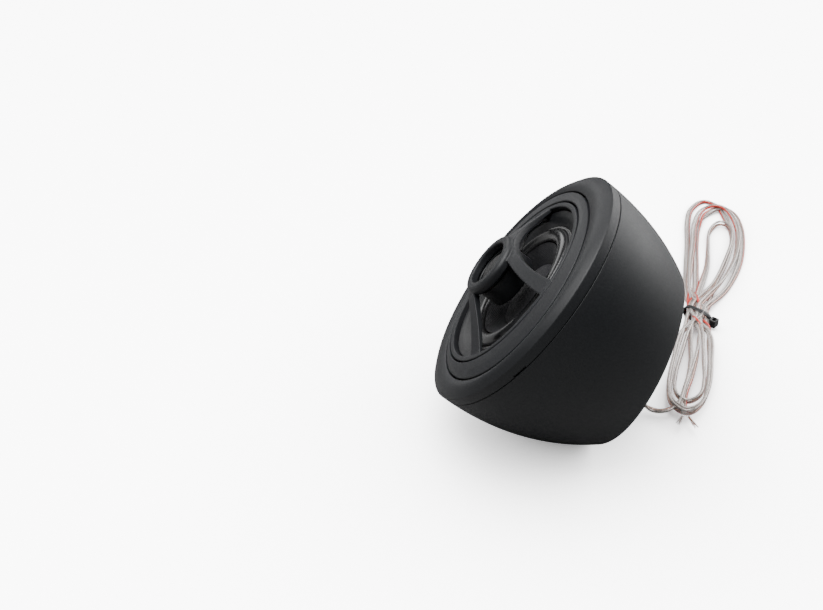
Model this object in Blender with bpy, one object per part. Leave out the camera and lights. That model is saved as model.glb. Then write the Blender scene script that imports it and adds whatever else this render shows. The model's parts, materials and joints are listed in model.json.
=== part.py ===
"""Surface-mount car tweeter pod: a two-way driver in an egg-shaped housing, with its speaker lead.

Units in the constants are millimetres and degrees; meshes are built in metres. The pod has its own
frame: local Z is the sound axis pointing out of the face, local X is across the face and local Y up
the face, with the origin at the middle of the bezel's inner edge. An empty tilts that frame so that
the pod lies on the small flat land under its back rim. World Z is up and the floor is Z = 0.
"""
import math

import bmesh
import bpy
from mathutils import Matrix, Vector

MM = 0.001
GAP = 0.3                       # clearance kept between touching pieces
SEAM_GAP = 0.5                  # visible groove between two face pieces

# ---- how the pod stands ------------------------------------------------------------------------
AXIS_ELEVATION = 38.0           # the sound axis above the horizon
POD_HEIGHT = 50.0               # origin of the pod frame above the floor
POD_SETBACK = -12.84            # its world Y, which centres the pod's box on the origin

# ---- housing -----------------------------------------------------------------------------------
POD_R = 40.0                    # outside radius at the seam
WALL = 2.4
SEAM_Z = -4.8
CREASE_Z = -1.7                 # edge between the bezel's side band and its rounded front
CREST_R, CREST_Z = 37.2, 0.25   # highest line of the rounded bezel
OVAL_A, OVAL_B = 36.14, 31.98   # half axes of the bezel's opening, across and up
BACK_Z = -45.95                 # where the oblique back crosses the axis
BACK_TILT = 14.5                # lean of the back, which leaves the lower side of the shell longer
BACK_WALL = 2.6
TAPER = (0.025, 0.005, 0.00004)  # radius lost behind the seam: linear, square and cubic terms
SPIGOT_DEPTH = 4.2
LEDGE_R, LEDGE_TOP, LEDGE_BOTTOM = 30.2, -2.9, -4.6
MOUNT_HOLE_R, MOUNT_HOLE_X, MOUNT_HOLE_Y = 1.7, 12.0, 4.0
CABLE_Y = -6.0                  # height of the cable outlet on the back
NOTCH_ANGLE = -2.0              # pry notch in the seam, measured from local X

# ---- face --------------------------------------------------------------------------------------
RING_R_OUT, RING_R_IN = 28.73, 26.88
RING_Z, RING_BOTTOM = 1.25, -2.2
HUB_R, HUB_HOLE_R, HUB_SKIRT_R = 10.1, 7.1, 8.8
HUB_Z, HUB_SHOULDER_Z, HUB_BOTTOM = 10.6, 9.2, 6.4
BAR_MID_OUT, BAR_END_OUT = 10.3, (20.9, 17.1)    # upper edge of a bar: at its middle, and at its end
BAR_MID_IN, BAR_END_IN = 6.9, (23.8, 12.9)       # lower edge of a bar
BAR_THICK_HUB, BAR_THICK_RING = 2.4, 1.2
HORN_R_IN, HORN_Z_IN = 22.4, -2.4
HORN_R_OUT, HORN_Z_OUT = 26.55, -0.3
SCREW_R, SCREW_ANGLES = 32.2, (45, 135, 225, 315)
LEAD_ANGLES = (34, 146)         # where the dome's two leads pass through the horn and the basket

# ---- main driver -------------------------------------------------------------------------------
SURROUND_OUT, SURROUND_IN = 21.1, 16.75
SURROUND_Z, SURROUND_RISE, SURROUND_SKIN = -2.5, 1.75, 0.4
CONE_R, CONE_Z, NECK_R, NECK_Z = 16.4, -2.3, 10.2, -7.4
FORMER_R, COIL_R = 9.9, 10.45
POLE_R, GAP_R = 9.3, 10.8
PLATE_TOP, PLATE_BOTTOM = -16.5, -20.5
MAGNET_TOP, MAGNET_BOTTOM = -20.8, -31.2
YOKE_TOP, YOKE_BOTTOM = -31.5, -35.3
MAGNET_R, MAGNET_HOLE_R = 22.5, 12.5
YOKE_R = 20.0

# ---- dome driver in the hub --------------------------------------------------------------------
DOME_R, DOME_Z, DOME_RISE = 6.2, 6.7, 2.3
POT_R, POT_BORE_R, POT_FLOOR = 7.6, 6.9, 1.9

# ---- speaker lead ------------------------------------------------------------------------------
LEAD_R = 1.1                    # plain round stand-in for the flat twin lead
HANK_START = (-3.0, 43.5)       # near end of the hank's centre line on the floor
HANK_END = (-160.0, 70.0)
# along the line, left side, right side, underside, top
HANK_SECTIONS = (
    (-3.0, -5.6, 2.6, 0.6, 2.6), (2.5, -7.6, 6.0, 0.0, 5.0), (14.0, -8.2, 7.8, 0.0, 6.0),
    (30.0, -7.6, 8.0, 0.0, 6.0), (46.0, -6.0, 7.2, 0.4, 6.4), (56.5, -3.8, 3.8, 1.4, 6.9),
    (65.5, -3.8, 3.8, 1.4, 6.9), (76.0, -5.2, 8.5, 0.4, 6.4), (92.0, -6.6, 12.6, 0.0, 6.0),
    (120.0, -8.4, 15.0, 0.0, 6.0), (140.0, -8.8, 14.2, 0.0, 6.0), (153.0, -6.6, 9.0, 0.0, 5.0),
    (161.0, -3.4, 3.0, 0.6, 2.6),
)
TIE_AT = 61.0                   # along the hank
TIE_SKEW = -29.0                # lean of the tie off square


def tidy_file():
    """Empty the file of everything that could end up in the model."""
    for obj in list(bpy.data.objects):
        bpy.data.objects.remove(obj, do_unlink=True)


def make_material(name, color, roughness, metallic=0.0):
    material = bpy.data.materials.new(name)
    material.use_nodes = True
    shader = material.node_tree.nodes["Principled BSDF"]
    shader.inputs["Base Color"].default_value = (*color, 1.0)
    shader.inputs["Roughness"].default_value = roughness
    shader.inputs["Metallic"].default_value = metallic
    material.diffuse_color = (*color, 1.0)
    return material


def add_object(name, mesh, parent, material=None):
    obj = bpy.data.objects.new(name, mesh)
    bpy.context.scene.collection.objects.link(obj)
    obj.parent = parent
    if material:
        mesh.materials.append(material)
    return obj


def mesh_from(name, points, faces, smooth_angle=30.0):
    """Mesh in metres from millimetre points, outward facing, smooth but for its real edges."""
    mesh = bpy.data.meshes.new(name)
    mesh.from_pydata([Vector(p) * MM for p in points], [], faces)
    bm = bmesh.new()
    bm.from_mesh(mesh)
    bmesh.ops.recalc_face_normals(bm, faces=bm.faces)
    bm.to_mesh(mesh)
    bm.free()
    mesh.shade_smooth()
    mesh.set_sharp_from_angle(angle=math.radians(smooth_angle))
    return mesh


def ring_mesh(name, section, segments=64):
    """Sweep a closed section around the axis; section(angle) gives its (radius, height) points."""
    points, faces = [], []
    for i in range(segments):
        angle = 2 * math.pi * i / segments
        for radius, height in section(angle):
            points.append((radius * math.cos(angle), radius * math.sin(angle), height))
    count = len(points) // segments
    for i in range(segments):
        here, after = i * count, (i + 1) % segments * count
        for j in range(count):
            k = (j + 1) % count
            faces.append((here + j, after + j, after + k, here + k))
    return mesh_from(name, points, faces)


def turned(name, outline, parent, material, segments=64):
    """A turned ring: a closed outline of (radius, height) points, all off the axis."""
    return add_object(name, ring_mesh(name, lambda angle: outline, segments), parent, material)


def turned_solid(name, outline, parent, material, segments=48):
    """A turned solid: an open outline whose first and last points close on the axis."""
    points, faces = [(0, 0, outline[0][1]), (0, 0, outline[-1][1])], []
    for i in range(segments):
        angle = 2 * math.pi * i / segments
        points += [(r * math.cos(angle), r * math.sin(angle), z) for r, z in outline]
    count = len(outline)
    for i in range(segments):
        here, after = 2 + i * count, 2 + (i + 1) % segments * count
        faces.append((0, here, after))
        faces += [(here + j, here + j + 1, after + j + 1, after + j) for j in range(count - 1)]
        faces.append((1, after + count - 1, here + count - 1))
    return add_object(name, mesh_from(name, points, faces), parent, material)


def box(name, size, center, parent, material=None, rotation=(0, 0, 0)):
    mesh = bpy.data.meshes.new(name)
    bm = bmesh.new()
    bmesh.ops.create_cube(bm, size=1.0, matrix=Matrix.Diagonal((*[s * MM for s in size], 1.0)))
    bm.to_mesh(mesh)
    bm.free()
    obj = add_object(name, mesh, parent, material)
    obj.location = Vector(center) * MM
    obj.rotation_euler = [math.radians(a) for a in rotation]
    return obj


def rod(name, radius, low, high, center, parent, material=None, segments=24, rotation=(0, 0, 0)):
    """A straight round rod along its own Z from low to high."""
    obj = turned_solid(name, [(radius, high), (radius, low)], parent, material, segments)
    obj.location = Vector(center) * MM
    obj.rotation_euler = [math.radians(a) for a in rotation]
    return obj


def as_cutter(obj):
    obj.hide_render = True
    obj.display_type = "WIRE"
    return obj


def combine(obj, other, operation="DIFFERENCE"):
    modifier = obj.modifiers.new(operation.lower(), "BOOLEAN")
    modifier.operation = operation
    modifier.solver = "EXACT"
    modifier.object = as_cutter(other)


def bevelled(obj, width, segments=2, angle=40.0):
    modifier = obj.modifiers.new("bevel", "BEVEL")
    modifier.width = width * MM
    modifier.segments = segments
    modifier.limit_method = "ANGLE"
    modifier.angle_limit = math.radians(angle)
    return obj


def smooth_route(route, spacing):
    """Points about spacing apart on the smooth curve through the route's own points."""
    route = [Vector(p) for p in route]
    ends = [2 * route[0] - route[1]] + route + [2 * route[-1] - route[-2]]
    fine = []
    for a, b, c, d in zip(ends, ends[1:], ends[2:], ends[3:]):
        steps = max(2, math.ceil((c - b).length / spacing))
        for i in range(steps):
            t = i / steps
            fine.append(0.5 * (2 * b + (c - a) * t + (2 * a - 5 * b + 4 * c - d) * t ** 2
                               + (3 * b - a - 3 * c + d) * t ** 3))
    return fine + [route[-1]]


def tube(name, route, radius, parent, material, spacing=None):
    """A round wire or lead along a smooth route, with filled ends."""
    curve = bpy.data.curves.new(name, "CURVE")
    curve.dimensions = "3D"
    curve.bevel_depth = radius * MM
    curve.bevel_resolution = 2
    curve.use_fill_caps = True
    curve.materials.append(material)
    points = smooth_route(route, spacing or 5 * radius)
    spline = curve.splines.new("POLY")
    spline.points.add(len(points) - 1)
    for slot, point in zip(spline.points, points):
        slot.co = (*(point * MM), 1.0)
    obj = bpy.data.objects.new(name, curve)
    bpy.context.scene.collection.objects.link(obj)
    obj.parent = parent
    return obj


# ---- housing -----------------------------------------------------------------------------------
def shell_radius(depth):
    """Outside radius of the rear shell at a depth behind the seam."""
    return POD_R - TAPER[0] * depth - TAPER[1] * depth ** 2 - TAPER[2] * depth ** 3


def back_height(y, inset=0.0):
    """Local Z of the oblique back at a height y on it, moved inwards square to itself."""
    tilt = math.radians(BACK_TILT)
    return BACK_Z + y * math.tan(tilt) + inset / math.cos(tilt)


def rim_depth(angle, wall, inset):
    """Depth behind the seam where one side line of the shell meets the back."""
    low, high = 5.0, 60.0
    for _ in range(40):
        depth = 0.5 * (low + high)
        y = (shell_radius(depth) - wall) * math.sin(angle)
        if SEAM_Z - depth > back_height(y, inset):
            low = depth
        else:
            high = depth
    return low


def shell_bulb(name, top_z, wall, inset, rows, parent, material=None, segments=52):
    """Closed bulb: a flat top, the tapering side and the oblique flat back."""
    points = [(0, 0, top_z), (0, 0, back_height(0, inset))]
    faces = []
    for i in range(segments):
        angle = 2 * math.pi * i / segments
        deepest = rim_depth(angle, wall, inset)
        for j in range(rows):
            depth = SEAM_Z - top_z + (deepest - SEAM_Z + top_z) * j / (rows - 1)
            radius = shell_radius(max(depth, 0.0)) - wall
            points.append((radius * math.cos(angle), radius * math.sin(angle), SEAM_Z - depth))
    for i in range(segments):
        here, after = 2 + i * rows, 2 + (i + 1) % segments * rows
        faces.append((0, here, after))
        faces += [(here + j, here + j + 1, after + j + 1, after + j) for j in range(rows - 1)]
        faces.append((1, after + rows - 1, here + rows - 1))
    return add_object(name, mesh_from(name, points, faces), parent, material)


def on_back(x, y, out=0.0):
    """Point on the oblique back, moved out along its normal."""
    tilt = math.radians(BACK_TILT)
    return Vector((x, y + out * math.sin(tilt), back_height(y) - out * math.cos(tilt)))


def rear_shell(pod, material):
    shell = shell_bulb("rear_shell", SEAM_Z - GAP / 2, 0.0, 0.0, 9, pod, material)
    combine(shell, shell_bulb("shell_hollow", SEAM_Z + 3.0, WALL, BACK_WALL, 6, pod))
    lean = (BACK_TILT, 0, 0)
    combine(shell, rod("cable_hole", 2.9, -6, 6, on_back(0, CABLE_Y), pod, rotation=lean))
    for side in (-1, 1):
        center = on_back(side * MOUNT_HOLE_X, MOUNT_HOLE_Y)
        hole = rod(f"mount_hole_{side}", MOUNT_HOLE_R, -6, 6, center, pod, rotation=lean)
        combine(shell, hole)
    combine(shell, box("land_cut", (60, 60, 10), (0, 10, -5.0), None))
    return shell


def oval_radius(angle, offset=0.0):
    """Radius of the bezel's oval opening, made larger or smaller by an offset."""
    a, b = OVAL_A + offset, OVAL_B + offset
    return a * b / math.hypot(b * math.cos(angle), a * math.sin(angle))


def bezel_section(angle):
    lip = oval_radius(angle, SEAM_GAP / 2)
    front = []
    for step in range(6):
        turn = math.radians(90 * step / 5)
        front.append((CREST_R + (POD_R - CREST_R) * math.cos(turn),
                      CREASE_Z + (CREST_Z - CREASE_Z) * math.sin(turn)))
    spigot_out = POD_R - WALL - GAP
    spigot_in = spigot_out - 1.0
    return ([(POD_R, SEAM_Z + GAP / 2)] + front
            + [(lip + 0.4, CREST_Z - 0.1), (lip, CREST_Z - 0.55), (lip, LEDGE_TOP),
               (LEDGE_R, LEDGE_TOP), (LEDGE_R, LEDGE_BOTTOM), (spigot_in, LEDGE_BOTTOM),
               (spigot_in, SEAM_Z - SPIGOT_DEPTH),
               (spigot_out, SEAM_Z - SPIGOT_DEPTH), (spigot_out, SEAM_Z + GAP / 2)])


def polar(radius, angle, z):
    turn = math.radians(angle)
    return Vector((radius * math.cos(turn), radius * math.sin(turn), z))


def front_bezel(pod, material):
    mesh = ring_mesh("front_bezel", bezel_section, 52)
    bezel = add_object("front_bezel", mesh, pod, material)
    for angle in SCREW_ANGLES:
        hole = rod(f"bezel_hole_{angle}", 1.4, -8, 0, polar(SCREW_R, angle, 0), pod)
        combine(bezel, hole)
    notch = box("pry_notch", (1.6, 7.0, 1.0), polar(POD_R, NOTCH_ANGLE, SEAM_Z + 0.3), pod,
                rotation=(0, 0, NOTCH_ANGLE))
    combine(bezel, notch)
    return bezel


def flange_section(angle):
    rim = oval_radius(angle, -SEAM_GAP / 2)
    inner = RING_R_OUT + SEAM_GAP / 2
    middle = 0.5 * (rim + inner)
    return [(rim, -2.6), (rim, -0.45), (rim - 0.45, -0.05), (middle, 0.75), (inner + 0.3, 1.3),
            (inner, 1.0), (inner, -2.6)]


def trim_flange(pod, material):
    return add_object("trim_flange", ring_mesh("trim_flange", flange_section, 52), pod, material)


# ---- bridge over the drivers -------------------------------------------------------------------
def bridge_heights(radius):
    """Top and underside of a bar: a straight ramp from the ring to the hub's shoulder."""
    ramp = min(max((RING_R_IN - radius) / (RING_R_IN - HUB_R), 0.0), 1.0)
    low = RING_Z - 0.06
    top = low + (HUB_SHOULDER_Z - low) * ramp
    return top, top - BAR_THICK_RING - (BAR_THICK_HUB - BAR_THICK_RING) * ramp


def arc_edge(x, end, middle):
    """Height y at x on the circular arc through (-end, end), the middle and (end, end)."""
    rise = end[1] - middle
    radius = (end[0] ** 2 + rise ** 2) / (2 * rise)
    return middle + radius - math.sqrt(radius ** 2 - x ** 2)


def bar_mesh(name, side, steps=16):
    """One curved bar of the bridge as a closed strip that runs into the ring at both ends."""
    reach = 1.04
    points, faces = [], []
    for i in range(steps + 1):
        f = 2 * i / steps - 1
        row = []
        for end, middle in ((BAR_END_OUT, BAR_MID_OUT), (BAR_END_IN, BAR_MID_IN)):
            x = f * end[0] * reach
            row.append((x, side * arc_edge(x, end, middle)))
        for x, y in row:
            points.append((x, y, bridge_heights(math.hypot(x, y))[0]))
        for x, y in reversed(row):
            points.append((x, y, bridge_heights(math.hypot(x, y))[1]))
    for i in range(steps):
        here, after = 4 * i, 4 * (i + 1)
        for j in range(4):
            k = (j + 1) % 4
            faces.append((here + j, after + j, after + k, here + k))
    faces += [(0, 1, 2, 3), (4 * steps + 3, 4 * steps + 2, 4 * steps + 1, 4 * steps)]
    return mesh_from(name, points, faces)


def grille_bridge(pod, material):
    outer = RING_R_OUT - SEAM_GAP / 2
    ring = [(outer, RING_BOTTOM), (outer, RING_Z - 0.3), (outer - 0.3, RING_Z),
            (RING_R_IN + 0.2, RING_Z), (RING_R_IN, RING_Z - 0.2), (RING_R_IN, RING_BOTTOM)]
    bridge = turned("grille_bridge", ring, pod, material, 48)
    for side in (1, -1):
        bar = add_object(f"bar_{side}", bar_mesh(f"bar_{side}", side), pod)
        combine(bridge, bar, "UNION")
    hub = [(HUB_HOLE_R, HUB_Z), (HUB_R - 1.9, HUB_Z), (HUB_R - 0.8, HUB_Z - 0.55),
           (HUB_R, HUB_SHOULDER_Z + 0.1), (HUB_R, HUB_BOTTOM)]
    combine(bridge, turned_solid("hub", hub, pod, None, 32), "UNION")
    bore = [(HUB_HOLE_R + 0.6, HUB_Z + 0.3), (HUB_HOLE_R, HUB_Z - 0.3), (HUB_HOLE_R, 8.3),
            (HUB_SKIRT_R, 8.3), (HUB_SKIRT_R, 0.0)]
    combine(bridge, turned_solid("hub_bore", bore, pod, None, 32))
    return bridge


def horn_ring(pod, material):
    outline = [(HORN_R_OUT, HORN_Z_OUT), (HORN_R_IN, HORN_Z_IN), (HORN_R_IN, -3.1),
               (28.5, -3.1), (28.5, -2.5), (HORN_R_OUT, -2.5)]
    horn = turned("horn_ring", outline, pod, material, 44)
    for angle in LEAD_ANGLES:
        combine(horn, rod(f"horn_hole_{angle}", 0.8, -6, 3, polar(25.2, angle, 0), pod, segments=12))
    return horn


# ---- main driver -------------------------------------------------------------------------------
def surround(pod, material):
    """Half-roll edge between basket and cone, as one thin turned skin."""
    top, under = [], []
    half = 0.5 * (SURROUND_OUT - SURROUND_IN)
    middle = 0.5 * (SURROUND_OUT + SURROUND_IN)
    for step in range(7):
        turn = math.radians(180 * step / 6)
        top.append((middle + half * math.cos(turn), SURROUND_Z + SURROUND_RISE * math.sin(turn)))
        under.append((middle + (half - SURROUND_SKIN) * math.cos(turn),
                      SURROUND_Z + (SURROUND_RISE - SURROUND_SKIN) * math.sin(turn)))
    outline = [(24.3, -3.65), (24.3, -3.4), (SURROUND_OUT, -3.4)] + top
    outline += [(SURROUND_IN, -3.65)] + under[::-1] + [(SURROUND_OUT - SURROUND_SKIN, -3.65)]
    return turned("driver_surround", outline, pod, material, 36)


def basket(pod, material):
    outline = [(21.0, -3.95), (25.0, -3.95), (25.0, -4.95), (34.4, -4.95), (34.4, -6.3),
               (24.6, -6.3), (20.9, -16.2), (12.6, -16.2), (12.6, -14.8), (19.6, -14.8),
               (23.0, -6.0), (21.0, -5.2)]
    frame = turned("driver_basket", outline, pod, material, 36)
    for i in range(4):
        angle = 90 * i + 45
        window = box(f"basket_window_{i}", (14, 22, 6.2), polar(25.0, angle, -10.6), pod,
                     rotation=(0, 0, angle))
        combine(frame, window)
    for angle in SCREW_ANGLES:
        combine(frame, rod(f"basket_hole_{angle}", 1.45, -8, -3, polar(SCREW_R, angle, 0), pod))
    for angle in LEAD_ANGLES:
        hole = rod(f"lead_hole_{angle}", 0.9, -8, -3, polar(25.9, angle, 0), pod, segments=12)
        combine(frame, hole)
    return frame


def screw(name, angle, pod, material):
    """Pan-head screw from behind the basket flange up into the bezel's ledge."""
    outline = [(1.05, -3.2), (1.05, -6.6), (2.2, -6.6), (2.2, -7.4), (1.5, -8.1)]
    obj = turned_solid(name, outline, pod, material, 16)
    obj.location = polar(SCREW_R, angle, 0) * MM
    return obj


def disc_ring(name, r_in, r_out, low, high, pod, material, segments=36):
    return turned(name, [(r_out, low), (r_out, high), (r_in, high), (r_in, low)], pod, material,
                  segments)


def main_driver(pod, look):
    disc_ring("surround_gasket", 21.4, 22.1, -3.1, -2.2, pod, look["foam"])
    surround(pod, look["rubber"])
    basket(pod, look["pressed_steel"])
    for number, angle in enumerate(SCREW_ANGLES, 1):
        screw(f"basket_screw_{number}", angle, pod, look["zinc"])
    disc_ring("top_plate", GAP_R, 22.0, PLATE_BOTTOM, PLATE_TOP, pod, look["zinc"])
    disc_ring("ring_magnet", MAGNET_HOLE_R, MAGNET_R, MAGNET_BOTTOM, MAGNET_TOP, pod, look["ferrite"])
    turned_solid("pole_yoke", [(POLE_R, PLATE_TOP), (POLE_R, YOKE_TOP), (YOKE_R, YOKE_TOP),
                               (YOKE_R, YOKE_BOTTOM)], pod, look["zinc"])
    ripple = [(GAP_R - 0.6 + i * 0.8, -14.2 + 0.45 * (i % 2)) for i in range(7)]
    skin = ripple + [(r, z + 0.3) for r, z in reversed(ripple)]
    turned("driver_spider", skin, pod, look["cloth"], 28)
    slope = (CONE_Z - NECK_Z) / (CONE_R - NECK_R)
    bow = 0.5 * (CONE_R + NECK_R)
    cone = [(CONE_R, CONE_Z), (bow, CONE_Z - slope * (CONE_R - bow) + 0.35), (NECK_R, NECK_Z)]
    cone += [(NECK_R, NECK_Z - 0.5), (bow, cone[1][1] - 0.5), (CONE_R, CONE_Z - 0.5)]
    turned("driver_cone", cone, pod, look["cone"], 36)
    cap = [(11.0 * math.cos(math.radians(a)), -6.2 + 1.5 * math.sin(math.radians(a)))
           for a in (87, 60, 30, 0)]
    inner = [(10.7 * math.cos(math.radians(a)), -6.2 + 1.15 * math.sin(math.radians(a)))
             for a in (0, 30, 60, 87)]
    turned_solid("dust_cap", cap + inner, pod, look["cone"], 28)
    disc_ring("coil_former", FORMER_R - 0.25, FORMER_R, -20.0, -7.5, pod, look["aluminium"], 36)
    disc_ring("voice_coil", FORMER_R + 0.25, COIL_R, -20.3, -16.0, pod, look["copper"], 36)


def dome_driver(pod, look):
    disc_ring("dome_ring", 6.9, 8.5, 6.9, 7.9, pod, look["plastic"], 40)
    shape = [(DOME_R * math.cos(math.radians(a)), DOME_Z + DOME_RISE * math.sin(math.radians(a)))
             for a in (86, 58, 30, 0)]
    under = [((DOME_R - 0.3) * math.cos(math.radians(a)),
              DOME_Z + (DOME_RISE - 0.3) * math.sin(math.radians(a))) for a in (0, 30, 58, 86)]
    rim = [(DOME_R + 0.4, DOME_Z), (DOME_R + 0.4, DOME_Z - 0.3), (DOME_R - 0.3, DOME_Z - 0.3)]
    turned_solid("tweeter_dome", shape + rim + under, pod, look["dome"], 28)
    disc_ring("tweeter_coil", DOME_R, DOME_R + 0.4, 3.9, 6.1, pod, look["copper"], 40)
    turned_solid("tweeter_pole_disc", [(5.8, 5.9), (5.8, 4.4)], pod, look["zinc"], 40)
    turned_solid("tweeter_magnet", [(5.5, 4.1), (5.5, 2.2)], pod, look["nickel"], 40)
    pot = [(POT_BORE_R - 0.1, POT_FLOOR), (POT_BORE_R, 5.9), (POT_R, 5.9), (POT_R, POT_FLOOR - 0.9)]
    turned_solid("tweeter_yoke", pot, pod, look["zinc"], 40)
    cap = [(POT_R + GAP - 0.1, 0.7), (POT_R + GAP, 6.6), (8.5, 6.6), (8.5, 0.4), (8.0, -0.1)]
    turned_solid("tweeter_back_cap", cap, pod, look["plastic"], 40)


# ---- what lies inside the shell ----------------------------------------------------------------
def shell_contents(pod, look):
    box("terminal_strip", (12.0, 1.2, 5.6), (0, 26.0, -10.4), pod, look["phenolic"])
    for side, word in ((-1, "minus"), (1, "plus")):
        box(f"terminal_{word}", (2.2, 0.5, 6.6), (side * 3.6, 27.2, -10.6), pod, look["nickel"])
    capacitor = rod("crossover_capacitor", 3.2, -6.0, 6.0, (0, -29.2, -18.5), pod, look["sleeve"],
                    rotation=(0, 90, 0))
    bevelled(capacitor, 0.5)
    for side, word, slot in ((1, "red", "red_wire"), (-1, "clear", "clear_wire")):
        route = [on_back(side * 0.9, CABLE_Y, -5.3), on_back(side * 4.0, CABLE_Y, -7.0),
                 Vector((side * 14, -12, -38.2)), Vector((side * 23.5, -4, -34.5)),
                 Vector((side * 25.5, 8, -27)), Vector((side * 19, 20, -19)),
                 Vector((side * 9, 26.5, -14.8)), Vector((side * 4.6, 28.2, -11.5))]
        tube(f"inner_lead_{word}", route, 0.55, pod, look[slot], 6.0)
    for side, word in ((1, "right"), (-1, "left")):
        route = [Vector((side * 7.0, 6.0, 3.2)), Vector((side * 12.0, 10.2, 3.5)),
                 Vector((side * 16.8, 12.6, 1.4)), Vector((side * 20.6, 13.85, -0.8)),
                 Vector((side * 21.2, 14.3, -3.4)), Vector((side * 21.5, 14.5, -5.6)),
                 Vector((side * 22.2, 14.6, -8.0))]
        tube(f"tweeter_lead_{word}", route, 0.35, pod, look["black_wire"], 3.0)
    outline = [(1.6, 4.2), (2.3, 4.2), (2.6, 1.3), (4.2, 1.1), (4.2, GAP), (2.6, GAP),
               (2.6, -2.9), (3.6, -2.9), (3.3, -4.0), (1.6, -4.0)]
    grommet = turned("cable_grommet", outline, pod, look["grommet"], 16)
    grommet.location = on_back(0, CABLE_Y) * MM
    grommet.rotation_euler = (math.radians(BACK_TILT - 180), 0, 0)


# ---- speaker lead on the floor -----------------------------------------------------------------
def hank_point(along, across, height):
    """World point from a distance along the hank, one across it and a height."""
    start, end = Vector(HANK_START), Vector(HANK_END)
    line = (end - start).normalized()
    side = Vector((-line.y, line.x)) * -1
    spot = start + line * along + side * across
    return Vector((spot.x, spot.y, height))


def hank_solid(material):
    """The tied hank's outer shape: rounded sections along its line, narrow at the tie."""
    sides, points, faces = 12, [], []
    for along, left, right, low, high in HANK_SECTIONS:
        half, middle = 0.5 * (right - left), 0.5 * (right + left)
        for i in range(sides):
            turn = 2 * math.pi * (i + 0.5) / sides
            bulge = [math.copysign(abs(c) ** 0.55, c) for c in (math.cos(turn), math.sin(turn))]
            height = 0.5 * (low + high) + 0.5 * (high - low) * min(max(bulge[1], -0.98), 0.98) / 0.98
            points.append(hank_point(along, middle + half * bulge[0], height))
    rows = len(HANK_SECTIONS)
    for i in range(rows - 1):
        for j in range(sides):
            k = (j + 1) % sides
            faces.append((i * sides + j, i * sides + k, (i + 1) * sides + k, (i + 1) * sides + j))
    faces.append(tuple(range(sides)))
    faces.append(tuple((rows - 1) * sides + j for j in range(sides)))
    return add_object("lead_hank", mesh_from("lead_hank", points, faces), None, material)


def tie(look):
    """Thin nylon tie round the hank's waist, with its square head on the far side."""
    middle = hank_point(TIE_AT, 0.0, 0.0)
    line = Vector(HANK_END) - Vector(HANK_START)
    heading = math.degrees(math.atan2(line.y, line.x)) + TIE_SKEW
    points, faces, count = [], [], 28
    for offset in (-1.1, 1.1):
        for half, low, high in ((5.25, 0.9, 7.4), (6.05, 0.1, 8.2)):
            for i in range(count):
                turn = 2 * math.pi * i / count
                c, s = (math.copysign(abs(v) ** 0.6, v) for v in (math.cos(turn), math.sin(turn)))
                points.append((offset, half * c, 0.5 * (low + high) + 0.5 * (high - low) * s))
    loops = (0, 1, 3, 2)
    for a, b in zip(loops, loops[1:] + loops[:1]):
        for i in range(count):
            k = (i + 1) % count
            faces.append((a * count + i, a * count + k, b * count + k, b * count + i))
    band = add_object("tie_band", mesh_from("tie_band", points, faces), None, look["nylon"])
    band.location = middle * MM
    band.rotation_euler = (0, 0, math.radians(heading))
    head = box("tie_head", (3.6, 3.0, 3.6), (0, 0, 0), None, look["nylon"], (0, 0, heading))
    across = Matrix.Rotation(math.radians(heading), 3, "Z") @ Vector((0, -7.9, 3.6))
    head.location = (middle + across) * MM
    bevelled(head, 0.5)


def supply_lead(look):
    lean = math.radians(AXIS_ELEVATION)

    def pod_to_world(p):
        return Vector((p.x, POD_SETBACK + p.y * math.sin(lean) - p.z * math.cos(lean),
                       POD_HEIGHT + p.y * math.cos(lean) + p.z * math.sin(lean)))

    route = [pod_to_world(on_back(0, CABLE_Y, -3.6)), pod_to_world(on_back(0, CABLE_Y, 1.5)),
             pod_to_world(on_back(0, CABLE_Y, 5.0)), Vector((-1.8, 27.4, 10.6)),
             Vector((-4.0, 30.4, 5.8)), Vector((-5.3, 32.3, 2.6)), Vector((-4.2, 34.6, 1.5))]
    tube("supply_lead", route, LEAD_R, None, look["lead"], 2.6)


def conductor_ends(look):
    for word, slot, route in (
            ("red", "copper", [(0.65, 43.5, 0.9), (2.8, 43.2, 0.7), (4.9, 43.1, 0.5)]),
            ("clear", "nickel", [(0.4, 42.0, 0.9), (1.4, 41.1, 0.7), (2.5, 40.2, 0.5)])):
        tube(f"bare_end_{word}", route, 0.45, None, look[slot], 2.0)


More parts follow.
